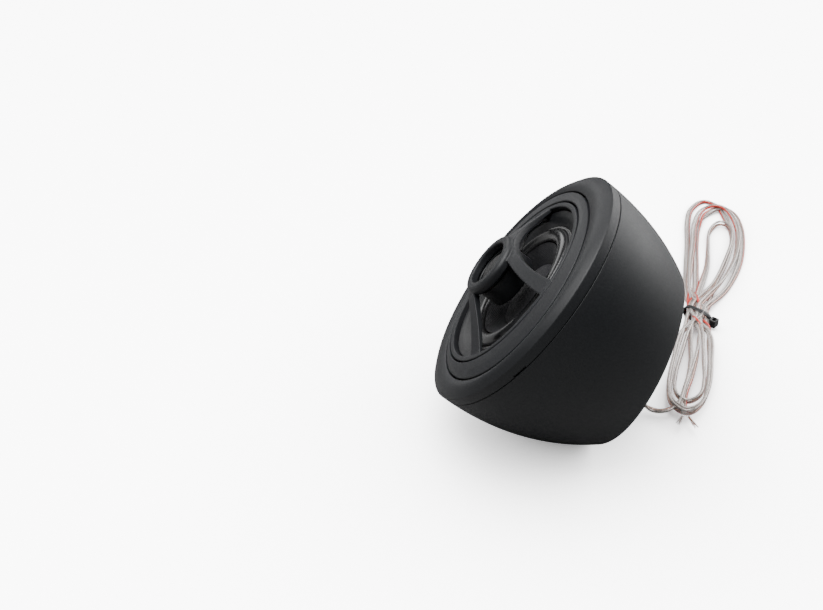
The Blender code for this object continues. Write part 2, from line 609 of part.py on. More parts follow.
def main():
    tidy_file()
    look = {
        "housing": make_material("housing", (0.020, 0.021, 0.024), 0.55),
        "plastic": make_material("plastic", (0.018, 0.018, 0.020), 0.45),
        "rubber": make_material("rubber", (0.008, 0.008, 0.008), 0.20),
        "foam": make_material("foam", (0.015, 0.015, 0.015), 0.90),
        "cone": make_material("cone", (0.020, 0.020, 0.022), 0.70),
        "dome": make_material("dome", (0.030, 0.030, 0.032), 0.60),
        "cloth": make_material("cloth", (0.45, 0.30, 0.10), 0.90),
        "pressed_steel": make_material("pressed_steel", (0.05, 0.05, 0.05), 0.50, 0.6),
        "zinc": make_material("zinc", (0.55, 0.56, 0.58), 0.35, 1.0),
        "nickel": make_material("nickel", (0.70, 0.68, 0.64), 0.25, 1.0),
        "ferrite": make_material("ferrite", (0.06, 0.06, 0.065), 0.65),
        "aluminium": make_material("aluminium", (0.75, 0.75, 0.76), 0.35, 1.0),
        "copper": make_material("copper", (0.80, 0.40, 0.22), 0.30, 1.0),
        "phenolic": make_material("phenolic", (0.25, 0.13, 0.06), 0.60),
        "sleeve": make_material("sleeve", (0.03, 0.05, 0.16), 0.35),
        "red_wire": make_material("red_wire", (0.55, 0.05, 0.04), 0.40),
        "clear_wire": make_material("clear_wire", (0.70, 0.70, 0.68), 0.20),
        "black_wire": make_material("black_wire", (0.02, 0.02, 0.02), 0.50),
        "grommet": make_material("grommet", (0.03, 0.03, 0.03), 0.70),
        "lead": make_material("lead", (0.80, 0.72, 0.70), 0.20),
        "nylon": make_material("nylon", (0.02, 0.02, 0.02), 0.35),
    }
    pod = bpy.data.objects.new("pod_frame", None)
    bpy.context.scene.collection.objects.link(pod)
    pod.location = (0, POD_SETBACK * MM, POD_HEIGHT * MM)
    pod.rotation_euler = (math.radians(90 - AXIS_ELEVATION), 0, 0)

    rear_shell(pod, look["housing"])
    front_bezel(pod, look["housing"])
    trim_flange(pod, look["housing"])
    grille_bridge(pod, look["housing"])
    horn_ring(pod, look["plastic"])
    main_driver(pod, look)
    dome_driver(pod, look)
    shell_contents(pod, look)
    hank_solid(look["lead"])
    tie(look)
    supply_lead(look)
    conductor_ends(look)


main()
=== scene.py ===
"""Looks of a surface-mount tweeter pod and its tied twin lead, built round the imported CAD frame.

Constants are millimetres and degrees. Pod pieces are modelled in the pod's own frame: Z out of the
face along the sound axis, Y up the face, X across it, origin at the middle of the bezel.
"""

import json
import math

import bmesh
import bpy
import numpy as np
from mathutils import Matrix, Vector


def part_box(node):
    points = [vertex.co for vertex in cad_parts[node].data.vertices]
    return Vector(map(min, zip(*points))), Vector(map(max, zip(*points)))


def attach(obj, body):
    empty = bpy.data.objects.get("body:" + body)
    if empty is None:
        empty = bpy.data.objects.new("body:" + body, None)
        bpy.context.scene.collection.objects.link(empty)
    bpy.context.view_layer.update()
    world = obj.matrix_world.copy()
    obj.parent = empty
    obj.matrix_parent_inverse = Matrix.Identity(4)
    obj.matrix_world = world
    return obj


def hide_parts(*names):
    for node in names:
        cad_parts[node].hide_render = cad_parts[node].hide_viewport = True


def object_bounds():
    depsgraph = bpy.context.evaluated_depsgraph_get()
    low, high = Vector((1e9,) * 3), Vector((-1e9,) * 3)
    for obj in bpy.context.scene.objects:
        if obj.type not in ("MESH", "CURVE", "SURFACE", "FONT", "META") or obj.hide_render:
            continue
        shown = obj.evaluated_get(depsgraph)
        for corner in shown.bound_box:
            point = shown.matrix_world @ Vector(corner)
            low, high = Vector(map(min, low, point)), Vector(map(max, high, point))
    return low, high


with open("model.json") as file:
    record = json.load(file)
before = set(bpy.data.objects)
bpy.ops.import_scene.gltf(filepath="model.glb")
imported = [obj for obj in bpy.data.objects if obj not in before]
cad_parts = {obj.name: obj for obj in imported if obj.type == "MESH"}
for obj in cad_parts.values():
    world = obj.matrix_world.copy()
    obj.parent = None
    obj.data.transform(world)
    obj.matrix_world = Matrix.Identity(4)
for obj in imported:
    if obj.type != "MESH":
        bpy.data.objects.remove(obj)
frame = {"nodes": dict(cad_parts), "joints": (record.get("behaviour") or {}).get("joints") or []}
cad_low, cad_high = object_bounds()
MM = 0.001

# ---- camera ----
LENS, SENSOR = 49.03, 36.0
CAMERA_PLACE = (286.28, -14.05, 221.64)
CAMERA_AZIMUTH, CAMERA_DIP = 95.87, 32.23

# ---- pod, as in the CAD ----
DOME_MAGNET_Z = 3.15            # middle of the dome's magnet on the sound axis
POD_R, WALL = 40.0, 2.4
SEAM_Z, SEAM_HALF = -4.8, 0.12
CREASE_Z, CREST_Z = -1.7, 0.25
OVAL_A, OVAL_B = 36.14, 31.98
GROOVE = 0.5
BACK_Z, BACK_TILT, BACK_WALL = -45.95, 14.5, 2.6
TAPER = (0.025, 0.005, 0.00004)
CABLE_Y, CABLE_HOLE_R = -6.0, 2.9
MOUNT_HOLE_X, MOUNT_HOLE_Y, MOUNT_HOLE_R, SINK_R = 12.0, 4.0, 1.7, 3.1
SEAM_LIP = 0.16                                     # rounding of the shell's front edge
SKIRT_R_IN, SKIRT_R_OUT, SKIRT_LONG = 36.3, 37.3, 4.2     # bezel's skirt, inside the shell
SEAT_R, SEAT_TOP, SEAT_BOTTOM = 30.2, -2.9, -4.6    # bezel's seat under the flange
FLANGE_BOTTOM = -2.6
NOTCH_ANGLE, NOTCH_SIZE = -2.0, (1.2, 5.0, 0.7)
RING_R_OUT, RING_R_IN, RING_Z, RING_BOTTOM = 28.73, 26.88, 1.25, -2.2
HUB_R, HUB_HOLE_R, HUB_SKIRT_R = 10.1, 7.1, 8.8
HUB_Z, HUB_SHOULDER_Z, HUB_RIM, HUB_INSIDE = 10.6, 9.2, 7.7, 8.3
BAR_MID_OUT, BAR_END_OUT = 10.3, (20.9, 17.1)
BAR_MID_IN, BAR_END_IN = 6.9, (23.8, 12.9)
BAR_THICK_HUB, BAR_THICK_RING, MELT_VOXEL = 2.4, 1.2, 0.17
HORN_R_IN, HORN_Z_IN, HORN_R_OUT, HORN_Z_OUT = 22.4, -2.4, 26.55, -0.3
HORN_FOOT_R, HORN_FOOT_TOP, HORN_BOTTOM = 28.5, -2.5, -3.1
LEAD_ANGLES, LEAD_HOLE_AT, LEAD_HOLE_R = (34, 146), 25.2, 0.8
SURROUND_OUT, SURROUND_IN, SURROUND_Z, SURROUND_RISE = 21.1, 16.75, -2.5, 1.75
CONE_R, CONE_Z, NECK_R, NECK_Z = 16.4, -2.3, 10.2, -7.4
CONE_THICK, CONE_BOW = 0.45, 1.4
DUST_CAP_R, DUST_CAP_Z, DUST_CAP_RISE = 11.0, -6.2, 1.5
DOME_R, DOME_Z, DOME_RISE = 6.2, 6.7, 2.3
BACK_CAP_R, BACK_CAP_TOP, BACK_CAP_FLOOR = 8.5, 6.6, 0.7

# ---- lead ----
TWIN_WIDE, TWIN_THICK = 2.4, 1.2
CORE_R = 0.38
HANK_START, HANK_END = (-3.0, 43.5), (-160.0, 70.0)
TIE_AT, TIE_SKEW = 61.0, -29.0
TIE_HEAD, TIE_SLOT = (3.0, 2.8, 3.0), (1.8, 1.0, 8.0)


def pod_frame():
    """Where the pod's own frame stands, from the sound axis and the dome's magnet."""
    out = Vector(frame["joints"][0]["axis"]).normalized()
    low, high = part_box("tweeter_magnet")
    across = Vector((1, 0, 0))
    turn = Matrix((across, out.cross(across), out)).transposed().to_4x4()
    return Matrix.Translation((low + high) / 2 - out * DOME_MAGNET_Z * MM) @ turn


POD, WORLD = pod_frame(), Matrix.Identity(4)


def link(obj):
    bpy.context.scene.collection.objects.link(obj)
    return obj


def camera():
    data = bpy.data.cameras.new("camera")
    data.lens, data.sensor_width = LENS, SENSOR
    data.clip_start, data.clip_end = 0.01, 20.0
    obj = link(bpy.data.objects.new("camera", data))
    turn, dip = math.radians(CAMERA_AZIMUTH), math.radians(CAMERA_DIP)
    look = Vector((-math.sin(turn) * math.cos(dip), math.cos(turn) * math.cos(dip), -math.sin(dip)))
    obj.location = Vector(CAMERA_PLACE) * MM
    obj.rotation_euler = look.to_track_quat("-Z", "Y").to_euler()
    bpy.context.scene.camera = obj


camera()


# ---- mesh helpers ----
def mesh_of(bm):
    mesh = bpy.data.meshes.new("piece")
    bm.to_mesh(mesh)
    bm.free()
    return mesh


def shaded(mesh, sharp):
    """Smooth shading, broken where faces meet at more than sharp degrees."""
    mesh.shade_smooth()
    mesh.set_sharp_from_angle(angle=math.radians(sharp))
    return mesh


def mesh_from(points, faces, sharp=35.0):
    mesh = bpy.data.meshes.new("piece")
    mesh.from_pydata([Vector(p) * MM for p in points], [], faces)
    bm = bmesh.new()
    bm.from_mesh(mesh)
    bmesh.ops.recalc_face_normals(bm, faces=bm.faces)
    bm.to_mesh(mesh)
    bm.free()
    return shaded(mesh, sharp)


def place(mesh, matrix=POD):
    obj = link(bpy.data.objects.new("piece", mesh))
    obj.matrix_world = matrix
    return obj


def bake(obj, sharp=35.0):
    """Apply the object's modifiers to its mesh."""
    bpy.context.view_layer.update()
    graph = bpy.context.evaluated_depsgraph_get()
    mesh = bpy.data.meshes.new_from_object(obj.evaluated_get(graph))
    obj.modifiers.clear()
    obj.data = shaded(mesh, sharp)
    return obj


def dress(obj, name, look, slot, *nodes, body="pod"):
    """Name a finished piece, give it its looks, and let it ride its body, stated in the world's
    own directions."""
    obj.name = obj.data.name = name
    obj.data.transform(obj.matrix_world)
    obj.matrix_world = WORLD
    for one in (look if isinstance(look, tuple) else (look,)):
        obj.data.materials.append(one)
    if nodes:
        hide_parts(*nodes)
    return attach(obj, body)


def cut(obj, cutters):
    """Take the cutters out of the object, then drop them."""
    for cutter in cutters:
        modifier = obj.modifiers.new("cut", "BOOLEAN")
        modifier.operation, modifier.solver, modifier.object = "DIFFERENCE", "EXACT", cutter
    bake(obj)
    for cutter in cutters:
        bpy.data.objects.remove(cutter)
    return obj


def rounded(corners, closed=True, steps=5):
    """Outline through (radius, height, fillet) corners, each rounded to its own fillet."""
    outline, count = [], len(corners)
    for i, (r, z, fillet) in enumerate(corners):
        here = Vector((r, z))
        if fillet <= 0 or (not closed and i in (0, count - 1)):
            outline.append((r, z))
            continue
        before = Vector(corners[i - 1][:2]) - here
        after = Vector(corners[(i + 1) % count][:2]) - here
        half = before.angle(after) / 2
        reach = min(fillet / math.tan(half), 0.48 * before.length, 0.48 * after.length)
        radius = reach * math.tan(half)
        to_middle = (before.normalized() + after.normalized()).normalized()
        centre = here + to_middle * radius / math.sin(half)
        first = here + before.normalized() * reach - centre
        last = here + after.normalized() * reach - centre
        total = first.angle_signed(last)
        for step in range(steps + 1):
            point = centre + Matrix.Rotation(-total * step / steps, 2) @ first
            outline.append(tuple(point))
    return outline


def band(here, after, count, closed=True):
    """Faces between two rings of count points that start at the given indices."""
    return [(here + j, here + (j + 1) % count, after + (j + 1) % count, after + j)
            for j in range(count if closed else count - 1)]


def spun(section, segments=160, poles=False, matrix=POD):
    """Sweep a section, points of (radius, height) that may depend on the angle, round the axis.
    With poles, its first and last points lie on the axis."""
    points, faces = [], []
    for i in range(segments):
        angle = 2 * math.pi * i / segments
        line = section(angle) if callable(section) else section
        if poles:
            if i == 0:
                points += [(0, 0, line[0][1]), (0, 0, line[-1][1])]
            line = line[1:-1]
        rows = len(line)
        points += [(r * math.cos(angle), r * math.sin(angle), z) for r, z in line]
    base = 2 if poles else 0
    for i in range(segments):
        here, after = base + i * rows, base + (i + 1) % segments * rows
        faces += band(here, after, rows, not poles)
        if poles:
            faces += [(0, here, after), (1, after + rows - 1, here + rows - 1)]
    return place(mesh_from(points, faces), matrix)


def turned(corners, segments=160, steps=5, poles=False):
    return spun(rounded(corners, not poles, steps), segments, poles)


def arc_points(radius, height, rise, degrees, middle=0.0):
    """Points of (radius, height) on an elliptic arc round (middle, height)."""
    return [(middle + radius * math.cos(a), height + rise * math.sin(a))
            for a in map(math.radians, degrees)]


def polar(radius, angle, z=0.0):
    turn = math.radians(angle)
    return Vector((radius * math.cos(turn), radius * math.sin(turn), z))


def plug(corners, center, lean=0.0, segments=48):
    """A small turned cutter in the pod's frame, leaning by an angle about X."""
    local = Matrix.Translation(center * MM) @ Matrix.Rotation(math.radians(lean), 4, "X")
    return spun(corners, segments, True, POD @ local)


def drill(radius, top, bottom, center, lean=0.0, segments=48):
    return plug([(0, top), (radius, top), (radius, bottom), (0, bottom)], center, lean, segments)


def joined(parts, matrix):
    """One smooth object of several parts, which are dropped."""
    bm = bmesh.new()
    for part in parts:
        bm.from_mesh(part.data)
        bpy.data.objects.remove(part)
    mesh = mesh_of(bm)
    mesh.shade_smooth()
    return place(mesh, matrix)


def box(size, matrix):
    bm = bmesh.new()
    bmesh.ops.create_cube(bm, size=1.0, matrix=Matrix.Diagonal((*[s * MM for s in size], 1.0)))
    return place(mesh_of(bm), matrix)


# ---- material helpers ----
class Look:
    """A material under construction, with short ways to add nodes."""

    def __init__(self, name, color, roughness, metallic=0.0, specular=0.5, coat=0.0, sheen=0.0):
        self.material = bpy.data.materials.new(name)
        self.material.use_nodes = True
        self.tree = self.material.node_tree
        self.shader = self.tree.nodes["Principled BSDF"]
        self.put(self.shader, {"Base Color": (*color, 1), "Roughness": roughness,
                               "Metallic": metallic, "Specular IOR Level": specular,
                               "Coat Weight": coat, "Sheen Weight": sheen})
        plain = self.node("ShaderNodeTexCoord").outputs["Object"]
        self.coords = self.node(
            "ShaderNodeMapping", {"Vector": plain, "Location": POD.translation,
                                  "Rotation": POD.to_euler()}, vector_type="TEXTURE").outputs[0]
        self.height = None

    def put(self, node, values):
        for key, value in values.items():
            socket = node.inputs[key]
            if isinstance(value, bpy.types.NodeSocket):
                self.tree.links.new(value, socket)
            else:
                socket.default_value = value

    def node(self, kind, inputs=None, **settings):
        made = self.tree.nodes.new(kind)
        for key, value in settings.items():
            setattr(made, key, value)
        self.put(made, inputs or {})
        return made

    def math(self, operation, a, b=0.0, c=0.0):
        return self.node("ShaderNodeMath", {0: a, 1: b, 2: c}, operation=operation).outputs[0]

    def times(self, a, b):
        return self.math("MULTIPLY", a, b)

    def noise(self, size, detail=3.0, rough=0.55):
        """Noise whose features are about size millimetres."""
        return self.node("ShaderNodeTexNoise", {
            "Vector": self.coords, "Scale": 1.0 / (size * MM), "Detail": detail,
            "Roughness": rough}).outputs["Fac"]

    def cells(self, size):
        return self.node("ShaderNodeTexVoronoi", {
            "Vector": self.coords, "Scale": 1.0 / (size * MM)}).outputs["Distance"]

    def scaled(self, value, low, high, to_low=0, to_high=1):
        return self.node("ShaderNodeMapRange", {
            "Value": value, "From Min": low, "From Max": high, "To Min": to_low,
            "To Max": to_high}).outputs["Result"]

    def blend(self, factor, first, second):
        """Mix of two colours, each a socket or a triple."""
        first, second = (value if isinstance(value, bpy.types.NodeSocket) else (*value, 1)
                         for value in (first, second))
        return self.node("ShaderNodeMix", {0: factor, 6: first, 7: second},
                         data_type="RGBA").outputs[2]

    def tint(self, factor, first, second):
        """Colour that runs from first to second with the factor."""
        self.put(self.shader, {"Base Color": self.blend(factor, first, second)})
        return self

    def gloss(self, factor, low, high):
        self.put(self.shader, {"Roughness": self.scaled(factor, 0.3, 0.7, low, high)})
        return self

    def relief(self, height, depth, strength=1.0):
        """Add a bump whose full height is depth millimetres."""
        inputs = {"Height": height, "Distance": depth * MM, "Strength": strength}
        if self.height:
            inputs["Normal"] = self.height
        self.height = self.node("ShaderNodeBump", inputs).outputs["Normal"]
        self.put(self.shader, {"Normal": self.height})
        return self

    def split(self):
        """The three coordinates in the pod's frame, in metres."""
        return self.node("ShaderNodeSeparateXYZ", {0: self.coords}).outputs

    def radius_angle(self):
        """Distance from the sound axis in millimetres, and the angle round it in turns."""
        x, y, _ = self.split()
        square = self.math("ADD", self.times(x, x), self.times(y, y))
        radius = self.math("DIVIDE", self.math("SQRT", square), MM)
        return radius, self.math("DIVIDE", self.math("ARCTAN2", y, x), 2 * math.pi)

    def wave(self, value, pitch):
        """Sine of the value, with one wave to each pitch of it."""
        return self.math("SINE", self.times(value, 2 * math.pi / pitch))


def shade(color, factor):
    return tuple(min(1, c * factor) for c in color)


def moulded(name, color, roughness, grain, depth, lighter=1.35):
    """Moulded plastic with a fine spark-eroded grain, faint flow clouds and lighter convex edges.
    """
    look = Look(name, color, roughness, specular=0.34)
    fine = look.noise(grain, 2.0, 0.6)
    cloud = look.noise(26.0, 2.0)
    edge = look.scaled(look.node("ShaderNodeNewGeometry").outputs["Pointiness"], 0.52, 0.60)
    pale = shade(color, lighter)
    speck = look.blend(look.scaled(fine, 0.42, 0.75), color, pale)
    cloudy = look.blend(look.scaled(cloud, 0.35, 0.75, 0, 0.5), speck, pale)
    # lighter where the surface is convex, at its edges and rims
    pale_edge_tone = shade(color, 2.2)
    look.tint(look.times(edge, 0.5), cloudy, pale_edge_tone)
    mixed = look.math("ADD", look.times(fine, 0.6), look.times(cloud, 0.4))
    look.gloss(mixed, roughness - 0.05, roughness + 0.10)
    look.relief(fine, depth)
    look.relief(look.noise(7.0, 1.0), depth * 0.8, 0.4)
    return look.material


def steel(name, color, roughness, scratch=0.004):
    look = Look(name, color, roughness, metallic=1.0)
    blotch = look.noise(3.0, 4.0)
    look.tint(look.scaled(blotch, 0.3, 0.7), shade(color, 0.8), color)
    look.gloss(blotch, roughness - 0.08, roughness + 0.15)
    return look.relief(look.noise(0.25, 3.0), scratch).material


def cloth(name, color, pitch, depth, roughness=0.9, sheen=0.3):
    """Woven cloth: two crossing sets of threads at a pitch in millimetres."""
    look = Look(name, color, roughness, sheen=sheen)
    x, y, _ = look.split()
    weave = look.times(look.wave(x, pitch * MM), look.wave(y, pitch * MM))
    mixed = look.math("ADD", weave, look.times(look.noise(0.6), 0.6))
    look.tint(look.scaled(mixed, -0.6, 1.2), shade(color, 0.6),
              shade(color, 1.5))
    return look.relief(mixed, depth).material


def winding(name, color, pitch):
    """Enamelled wire wound round the sound axis, darker between the turns: painted shade in the
    crevices.
    """
    look = Look(name, color, 0.28, metallic=1.0, coat=0.4)
    turns = look.wave(look.split()[2], pitch * MM)
    # dark where the turns meet: painted shade between the wires
    look.tint(look.scaled(turns, -1, 1), shade(color, 0.35), color)
    return look.relief(turns, 0.05).material


EDGE_RIBS, KNIT_PITCH = 210, 0.62
CONE_SPOKES, CONE_PITCH = 96, 0.55
SILK_PITCH = 0.95


def rubber_edge(name):
    """Glossy edge roll: smooth rubber over knitted cloth that shows at its glued outer rim."""
    look = Look(name, (0.004, 0.004, 0.0045), 0.24, specular=0.5, coat=0.1)
    radius, angle = look.radius_angle()
    knit = look.times(look.wave(angle, 1 / EDGE_RIBS), look.wave(radius, KNIT_PITCH))
    rim = look.scaled(radius, SURROUND_OUT - 0.55, SURROUND_OUT - 0.1)
    inner = look.scaled(radius, SURROUND_IN + 0.5, SURROUND_IN + 0.1)
    edge = look.math("MAXIMUM", rim, inner)
    look.tint(look.times(edge, look.scaled(knit, -0.2, 1)),
              (0.004, 0.004, 0.0045), (0.05, 0.05, 0.052))
    look.put(look.shader, {"Roughness": look.scaled(edge, 0, 1, 0.25, 0.45)})
    look.relief(look.times(knit, edge), 0.05)
    return look.relief(look.noise(1.6, 2.0), 0.03, 0.6).material


def woven_cone(name):
    """Black pressed-fibre cone with faint spokes and rings of its weave."""
    look = Look(name, (0.010, 0.010, 0.012), 0.62, specular=0.22, sheen=0.03)
    radius, angle = look.radius_angle()
    threads = look.times(look.wave(angle, 1 / CONE_SPOKES),
                        look.wave(radius, CONE_PITCH))
    weave = look.math("ADD", threads, look.times(look.noise(0.5, 4.0), 1.2))
    look.tint(look.scaled(weave, -0.4, 1.6), (0.004, 0.004, 0.005), (0.013, 0.013, 0.016))
    return look.relief(weave, 0.05).material


def woven_dome(name):
    """Doped silk dome: a diagonal open weave whose thread crossings are lighter, partly their own
    tone and partly painted glints.
    """
    look = Look(name, (0.02, 0.02, 0.02), 0.5, specular=0.3, sheen=0.04)
    x, y, _ = look.split()
    lines = [look.wave(look.math(way, x, y), SILK_PITCH * MM) for way in ("ADD", "SUBTRACT")]
    weave = look.math("MAXIMUM", *lines)
    cross = look.times(*(look.scaled(line, 0.0, 1) for line in lines))
    # lighter thread crossings: partly the threads' tone, partly painted glints off the weave
    crossing_tone_and_glint = look.times(cross, look.scaled(look.noise(1.1), 0.35, 0.65, 0.3, 1))
    look.tint(crossing_tone_and_glint, (0.005, 0.005, 0.005), (0.12, 0.12, 0.115))
    return look.relief(weave, 0.07).material


def rubber(name, color, roughness=0.6):
    look = Look(name, color, roughness, specular=0.35)
    dust = look.noise(2.4, 4.0)
    look.tint(look.scaled(dust, 0.35, 0.75), color, shade(color, 1.7))
    look.gloss(dust, roughness - 0.08, roughness + 0.12)
    return look.relief(look.noise(0.3, 3.0), 0.02).material


def foam(name):
    look = Look(name, (0.012, 0.012, 0.012), 0.95, specular=0.1, sheen=0.3)
    pores = look.cells(0.35)
    look.tint(look.scaled(pores, 0.1, 0.6), (0.005, 0.005, 0.005), (0.024, 0.024, 0.024))
    return look.relief(pores, 0.15).material


def plastic(name, color, roughness, coat=0.0, mottle=0.25):
    look = Look(name, color, roughness, coat=coat)
    cloud = look.noise(5.0, 3.0)
    look.tint(look.scaled(cloud, 0.3, 0.7), shade(color, 1 - mottle),
              shade(color, 1 + mottle))
    look.gloss(cloud, roughness - 0.05, roughness + 0.08)
    return look.relief(look.noise(0.4, 2.0), 0.008).material


def fired_ferrite(name):
    look = Look(name, (0.045, 0.045, 0.05), 0.6, specular=0.5)
    grain = look.noise(0.5, 5.0, 0.7)
    look.tint(look.scaled(grain, 0.3, 0.75), (0.025, 0.025, 0.03), (0.085, 0.085, 0.09))
    return look.relief(grain, 0.03).material


def clear_jacket(name):
    """Clear PVC: see-through square on, denser where it is seen edge on, a little cloudy."""
    look = Look(name, (0.90, 0.89, 0.87), 0.10, specular=0.6)
    haze = look.noise(1.2, 3.0)
    edge = look.node("ShaderNodeLayerWeight", {"Blend": 0.35}).outputs["Facing"]
    look.tint(look.scaled(haze, 0.3, 0.7), (0.80, 0.77, 0.74), (0.66, 0.62, 0.59))
    look.put(look.shader, {"Alpha": look.scaled(edge, 0.25, 0.95, 0.10, 0.62)})
    look.gloss(haze, 0.06, 0.18)
    return look.relief(look.noise(4.0, 2.0), 0.05, 0.5).material


def red_stripe(name):
    look = Look(name, (0.60, 0.045, 0.035), 0.22, specular=0.5)
    wear = look.noise(1.5, 3.0)
    look.tint(look.scaled(wear, 0.4, 0.7), (0.72, 0.07, 0.05), (0.50, 0.03, 0.025))
    look.put(look.shader, {"Alpha": look.scaled(wear, 0.2, 0.8, 0.85, 0.65)})
    return look.relief(wear, 0.01).material


def strands(name, color):
    """Bunch of fine bare wires, seen as slanting threads."""
    look = Look(name, color, 0.3, metallic=1.0)
    bunch = look.noise(0.35, 4.0, 0.65)
    look.tint(look.scaled(bunch, 0.35, 0.65), shade(color, 0.45), color)
    look.gloss(bunch, 0.22, 0.42)
    return look.relief(bunch, 0.06).material


# ---- room ----
FLOOR_GLOW, FLOOR_PALE, FLOOR_BOUNCE, WORLD_GLOW = 7.5, 0.93, 0.26, 0.10
FLOOR_HALF, FLOOR_DROP = 6.0, 0.0001     # metres
SHADE_REACH, SHADE_DEPTH = 0.09, 1.6     # soft shade near what stands on the floor
LIGHT_AIM = Vector((0, 0, 0.04))
LIGHTS = (   # name, place, width, height, watts, in metres
    ("top_box", (0.05, -0.15, 0.95), 0.75, 0.75, 21.0),
    ("left_box", (0.25, -0.95, 0.55), 0.5, 0.5, 1.2),
    ("far_box", (-0.85, -0.55, 0.45), 0.7, 0.5, 3.5),
    ("back_box", (-0.75, 0.80, 0.42), 1.2, 0.7, 14.0),
)


def paper_floor():
    """White sheet, overexposed to the eye but sending little light up under the pod; its glow fades
    near what stands on it, a painted soft shadow.
    """
    look = Look("floor", (FLOOR_PALE,) * 3, 0.85, specular=0.1)
    seen = look.node("ShaderNodeLightPath").outputs["Is Camera Ray"]
    pale = look.blend(look.scaled(look.noise(30.0, 3.0), 0.3, 0.7), (0.925, 0.925, 0.93),
                      (0.94, 0.94, 0.94))
    look.tint(seen, (FLOOR_BOUNCE,) * 3, pale)
    # painted contact shadow: the glow is dimmed where the floor is closed in
    open_sky = look.node("ShaderNodeAmbientOcclusion", {"Distance": SHADE_REACH}).outputs["AO"]
    glow = look.times(look.math("POWER", open_sky, SHADE_DEPTH), FLOOR_GLOW)
    look.put(look.shader, {"Emission Color": (1, 1, 1, 1),
                           "Emission Strength": look.times(seen, glow)})
    return look.relief(look.noise(2.0, 2.0), 0.02).material


def studio_world():
    world = bpy.data.worlds.new("studio")
    world.use_nodes = True
    nodes, links = world.node_tree.nodes, world.node_tree.links
    seen = nodes.new("ShaderNodeLightPath").outputs["Is Camera Ray"]
    glow = nodes.new("ShaderNodeMapRange")
    glow.inputs["To Min"].default_value = WORLD_GLOW
    glow.inputs["To Max"].default_value = FLOOR_GLOW
    links.new(seen, glow.inputs["Value"])
    links.new(glow.outputs["Result"], nodes["Background"].inputs["Strength"])
    nodes["Background"].inputs["Color"].default_value = (0.95, 0.97, 1.0, 1)
    return world


def room():
    mesh = bpy.data.meshes.new("floor")
    corners = ((-1, -1), (1, -1), (1, 1), (-1, 1))
    mesh.from_pydata([(x * FLOOR_HALF, y * FLOOR_HALF, 0) for x, y in corners], [], [range(4)])
    floor = link(bpy.data.objects.new("floor", mesh))
    floor.location.z = cad_low.z - FLOOR_DROP
    mesh.materials.append(paper_floor())
    for name, spot, wide, high, watts in LIGHTS:
        data = bpy.data.lights.new(name, "AREA")
        data.shape, data.size, data.size_y, data.energy = "RECTANGLE", wide, high, watts
        lamp = link(bpy.data.objects.new(name, data))
        lamp.location = spot
        lamp.rotation_euler = (LIGHT_AIM - Vector(spot)).to_track_quat("-Z", "Y").to_euler()
    bpy.context.scene.world = studio_world()


# ---- housing ----
def shell_radius(depth):
    return POD_R - TAPER[0] * depth - TAPER[1] * depth ** 2 - TAPER[2] * depth ** 3


def back_height(y, inset=0.0):
    tilt = math.radians(BACK_TILT)
    return BACK_Z + y * math.tan(tilt) + inset / math.cos(tilt)


def rim_depth(angle, wall, inset):
    """Depth behind the seam where one side line of the shell meets the oblique back."""
    low, high = 5.0, 60.0
    for _ in range(40):
        depth = 0.5 * (low + high)
        y = (shell_radius(depth) - wall) * math.sin(angle)
        if SEAM_Z - depth > back_height(y, inset):
            low = depth
        else:
            high = depth
    return low


def on_back(x, y, out=0.0):
    """Point on the oblique back, moved out along its normal."""
    tilt = math.radians(BACK_TILT)
    return Vector((x, y + out * math.sin(tilt), back_height(y) - out * math.cos(tilt)))


def bulb_line(angle, top_z, wall, inset, edge, rows):
    """One side line of the bulb from its top down, round the back's edge, to the axis."""
    deepest = rim_depth(angle, wall, inset)
    line = []
    for j in range(rows):
        depth = SEAM_Z - top_z + (deepest - edge - SEAM_Z + top_z) * j / (rows - 1)
        line.append((shell_radius(depth) - wall, SEAM_Z - depth))
    corner = Vector((shell_radius(deepest) - wall, SEAM_Z - deepest))
    inward = corner.x - edge
    first, last = Vector(line[-1]), Vector((inward, back_height(inward * math.sin(angle), inset)))
    for step in range(1, 8):
        t = step / 8
        point = first * (1 - t) ** 2 + corner * 2 * t * (1 - t) + last * t ** 2
        line.append(tuple(point))
    for f in (1.0, 0.8, 0.6, 0.4, 0.2, 0.0):
        r = inward * f
        line.append((r, back_height(r * math.sin(angle), inset)))
    return line


def rear_shell(look):
    def section(angle):
        rim = SEAM_Z - SEAM_HALF
        outside = bulb_line(angle, rim - SEAM_LIP, 0.0, 0.0, 1.6, 44)
        inside = bulb_line(angle, rim, WALL, BACK_WALL, 1.0, 12)
        corner = arc_points(SEAM_LIP, rim - SEAM_LIP, SEAM_LIP, (20, 45, 70, 90), POD_R - SEAM_LIP)
        return outside[::-1] + corner + inside

    shell = spun(section, 200, True)
    deep = 6
    sink = [(0, deep), (MOUNT_HOLE_R, deep), (MOUNT_HOLE_R, 1.3), (SINK_R, -0.1),
            (SINK_R, -deep), (0, -deep)]
    cut(shell, [drill(CABLE_HOLE_R, deep, -deep, on_back(0, CABLE_Y), BACK_TILT)]
        + [plug(sink, on_back(side * MOUNT_HOLE_X, MOUNT_HOLE_Y), BACK_TILT) for side in (-1, 1)])
    for vertex in shell.data.vertices:
        world = POD @ vertex.co
        if world.z < 0:
            world.z = 0
            vertex.co = POD.inverted() @ world
    return dress(shell, "pod_shell", look, "housing", "rear_shell")


def oval_radius(angle, offset=0.0):
    a, b = OVAL_A + offset, OVAL_B + offset
    return a * b / math.hypot(b * math.cos(angle), a * math.sin(angle))


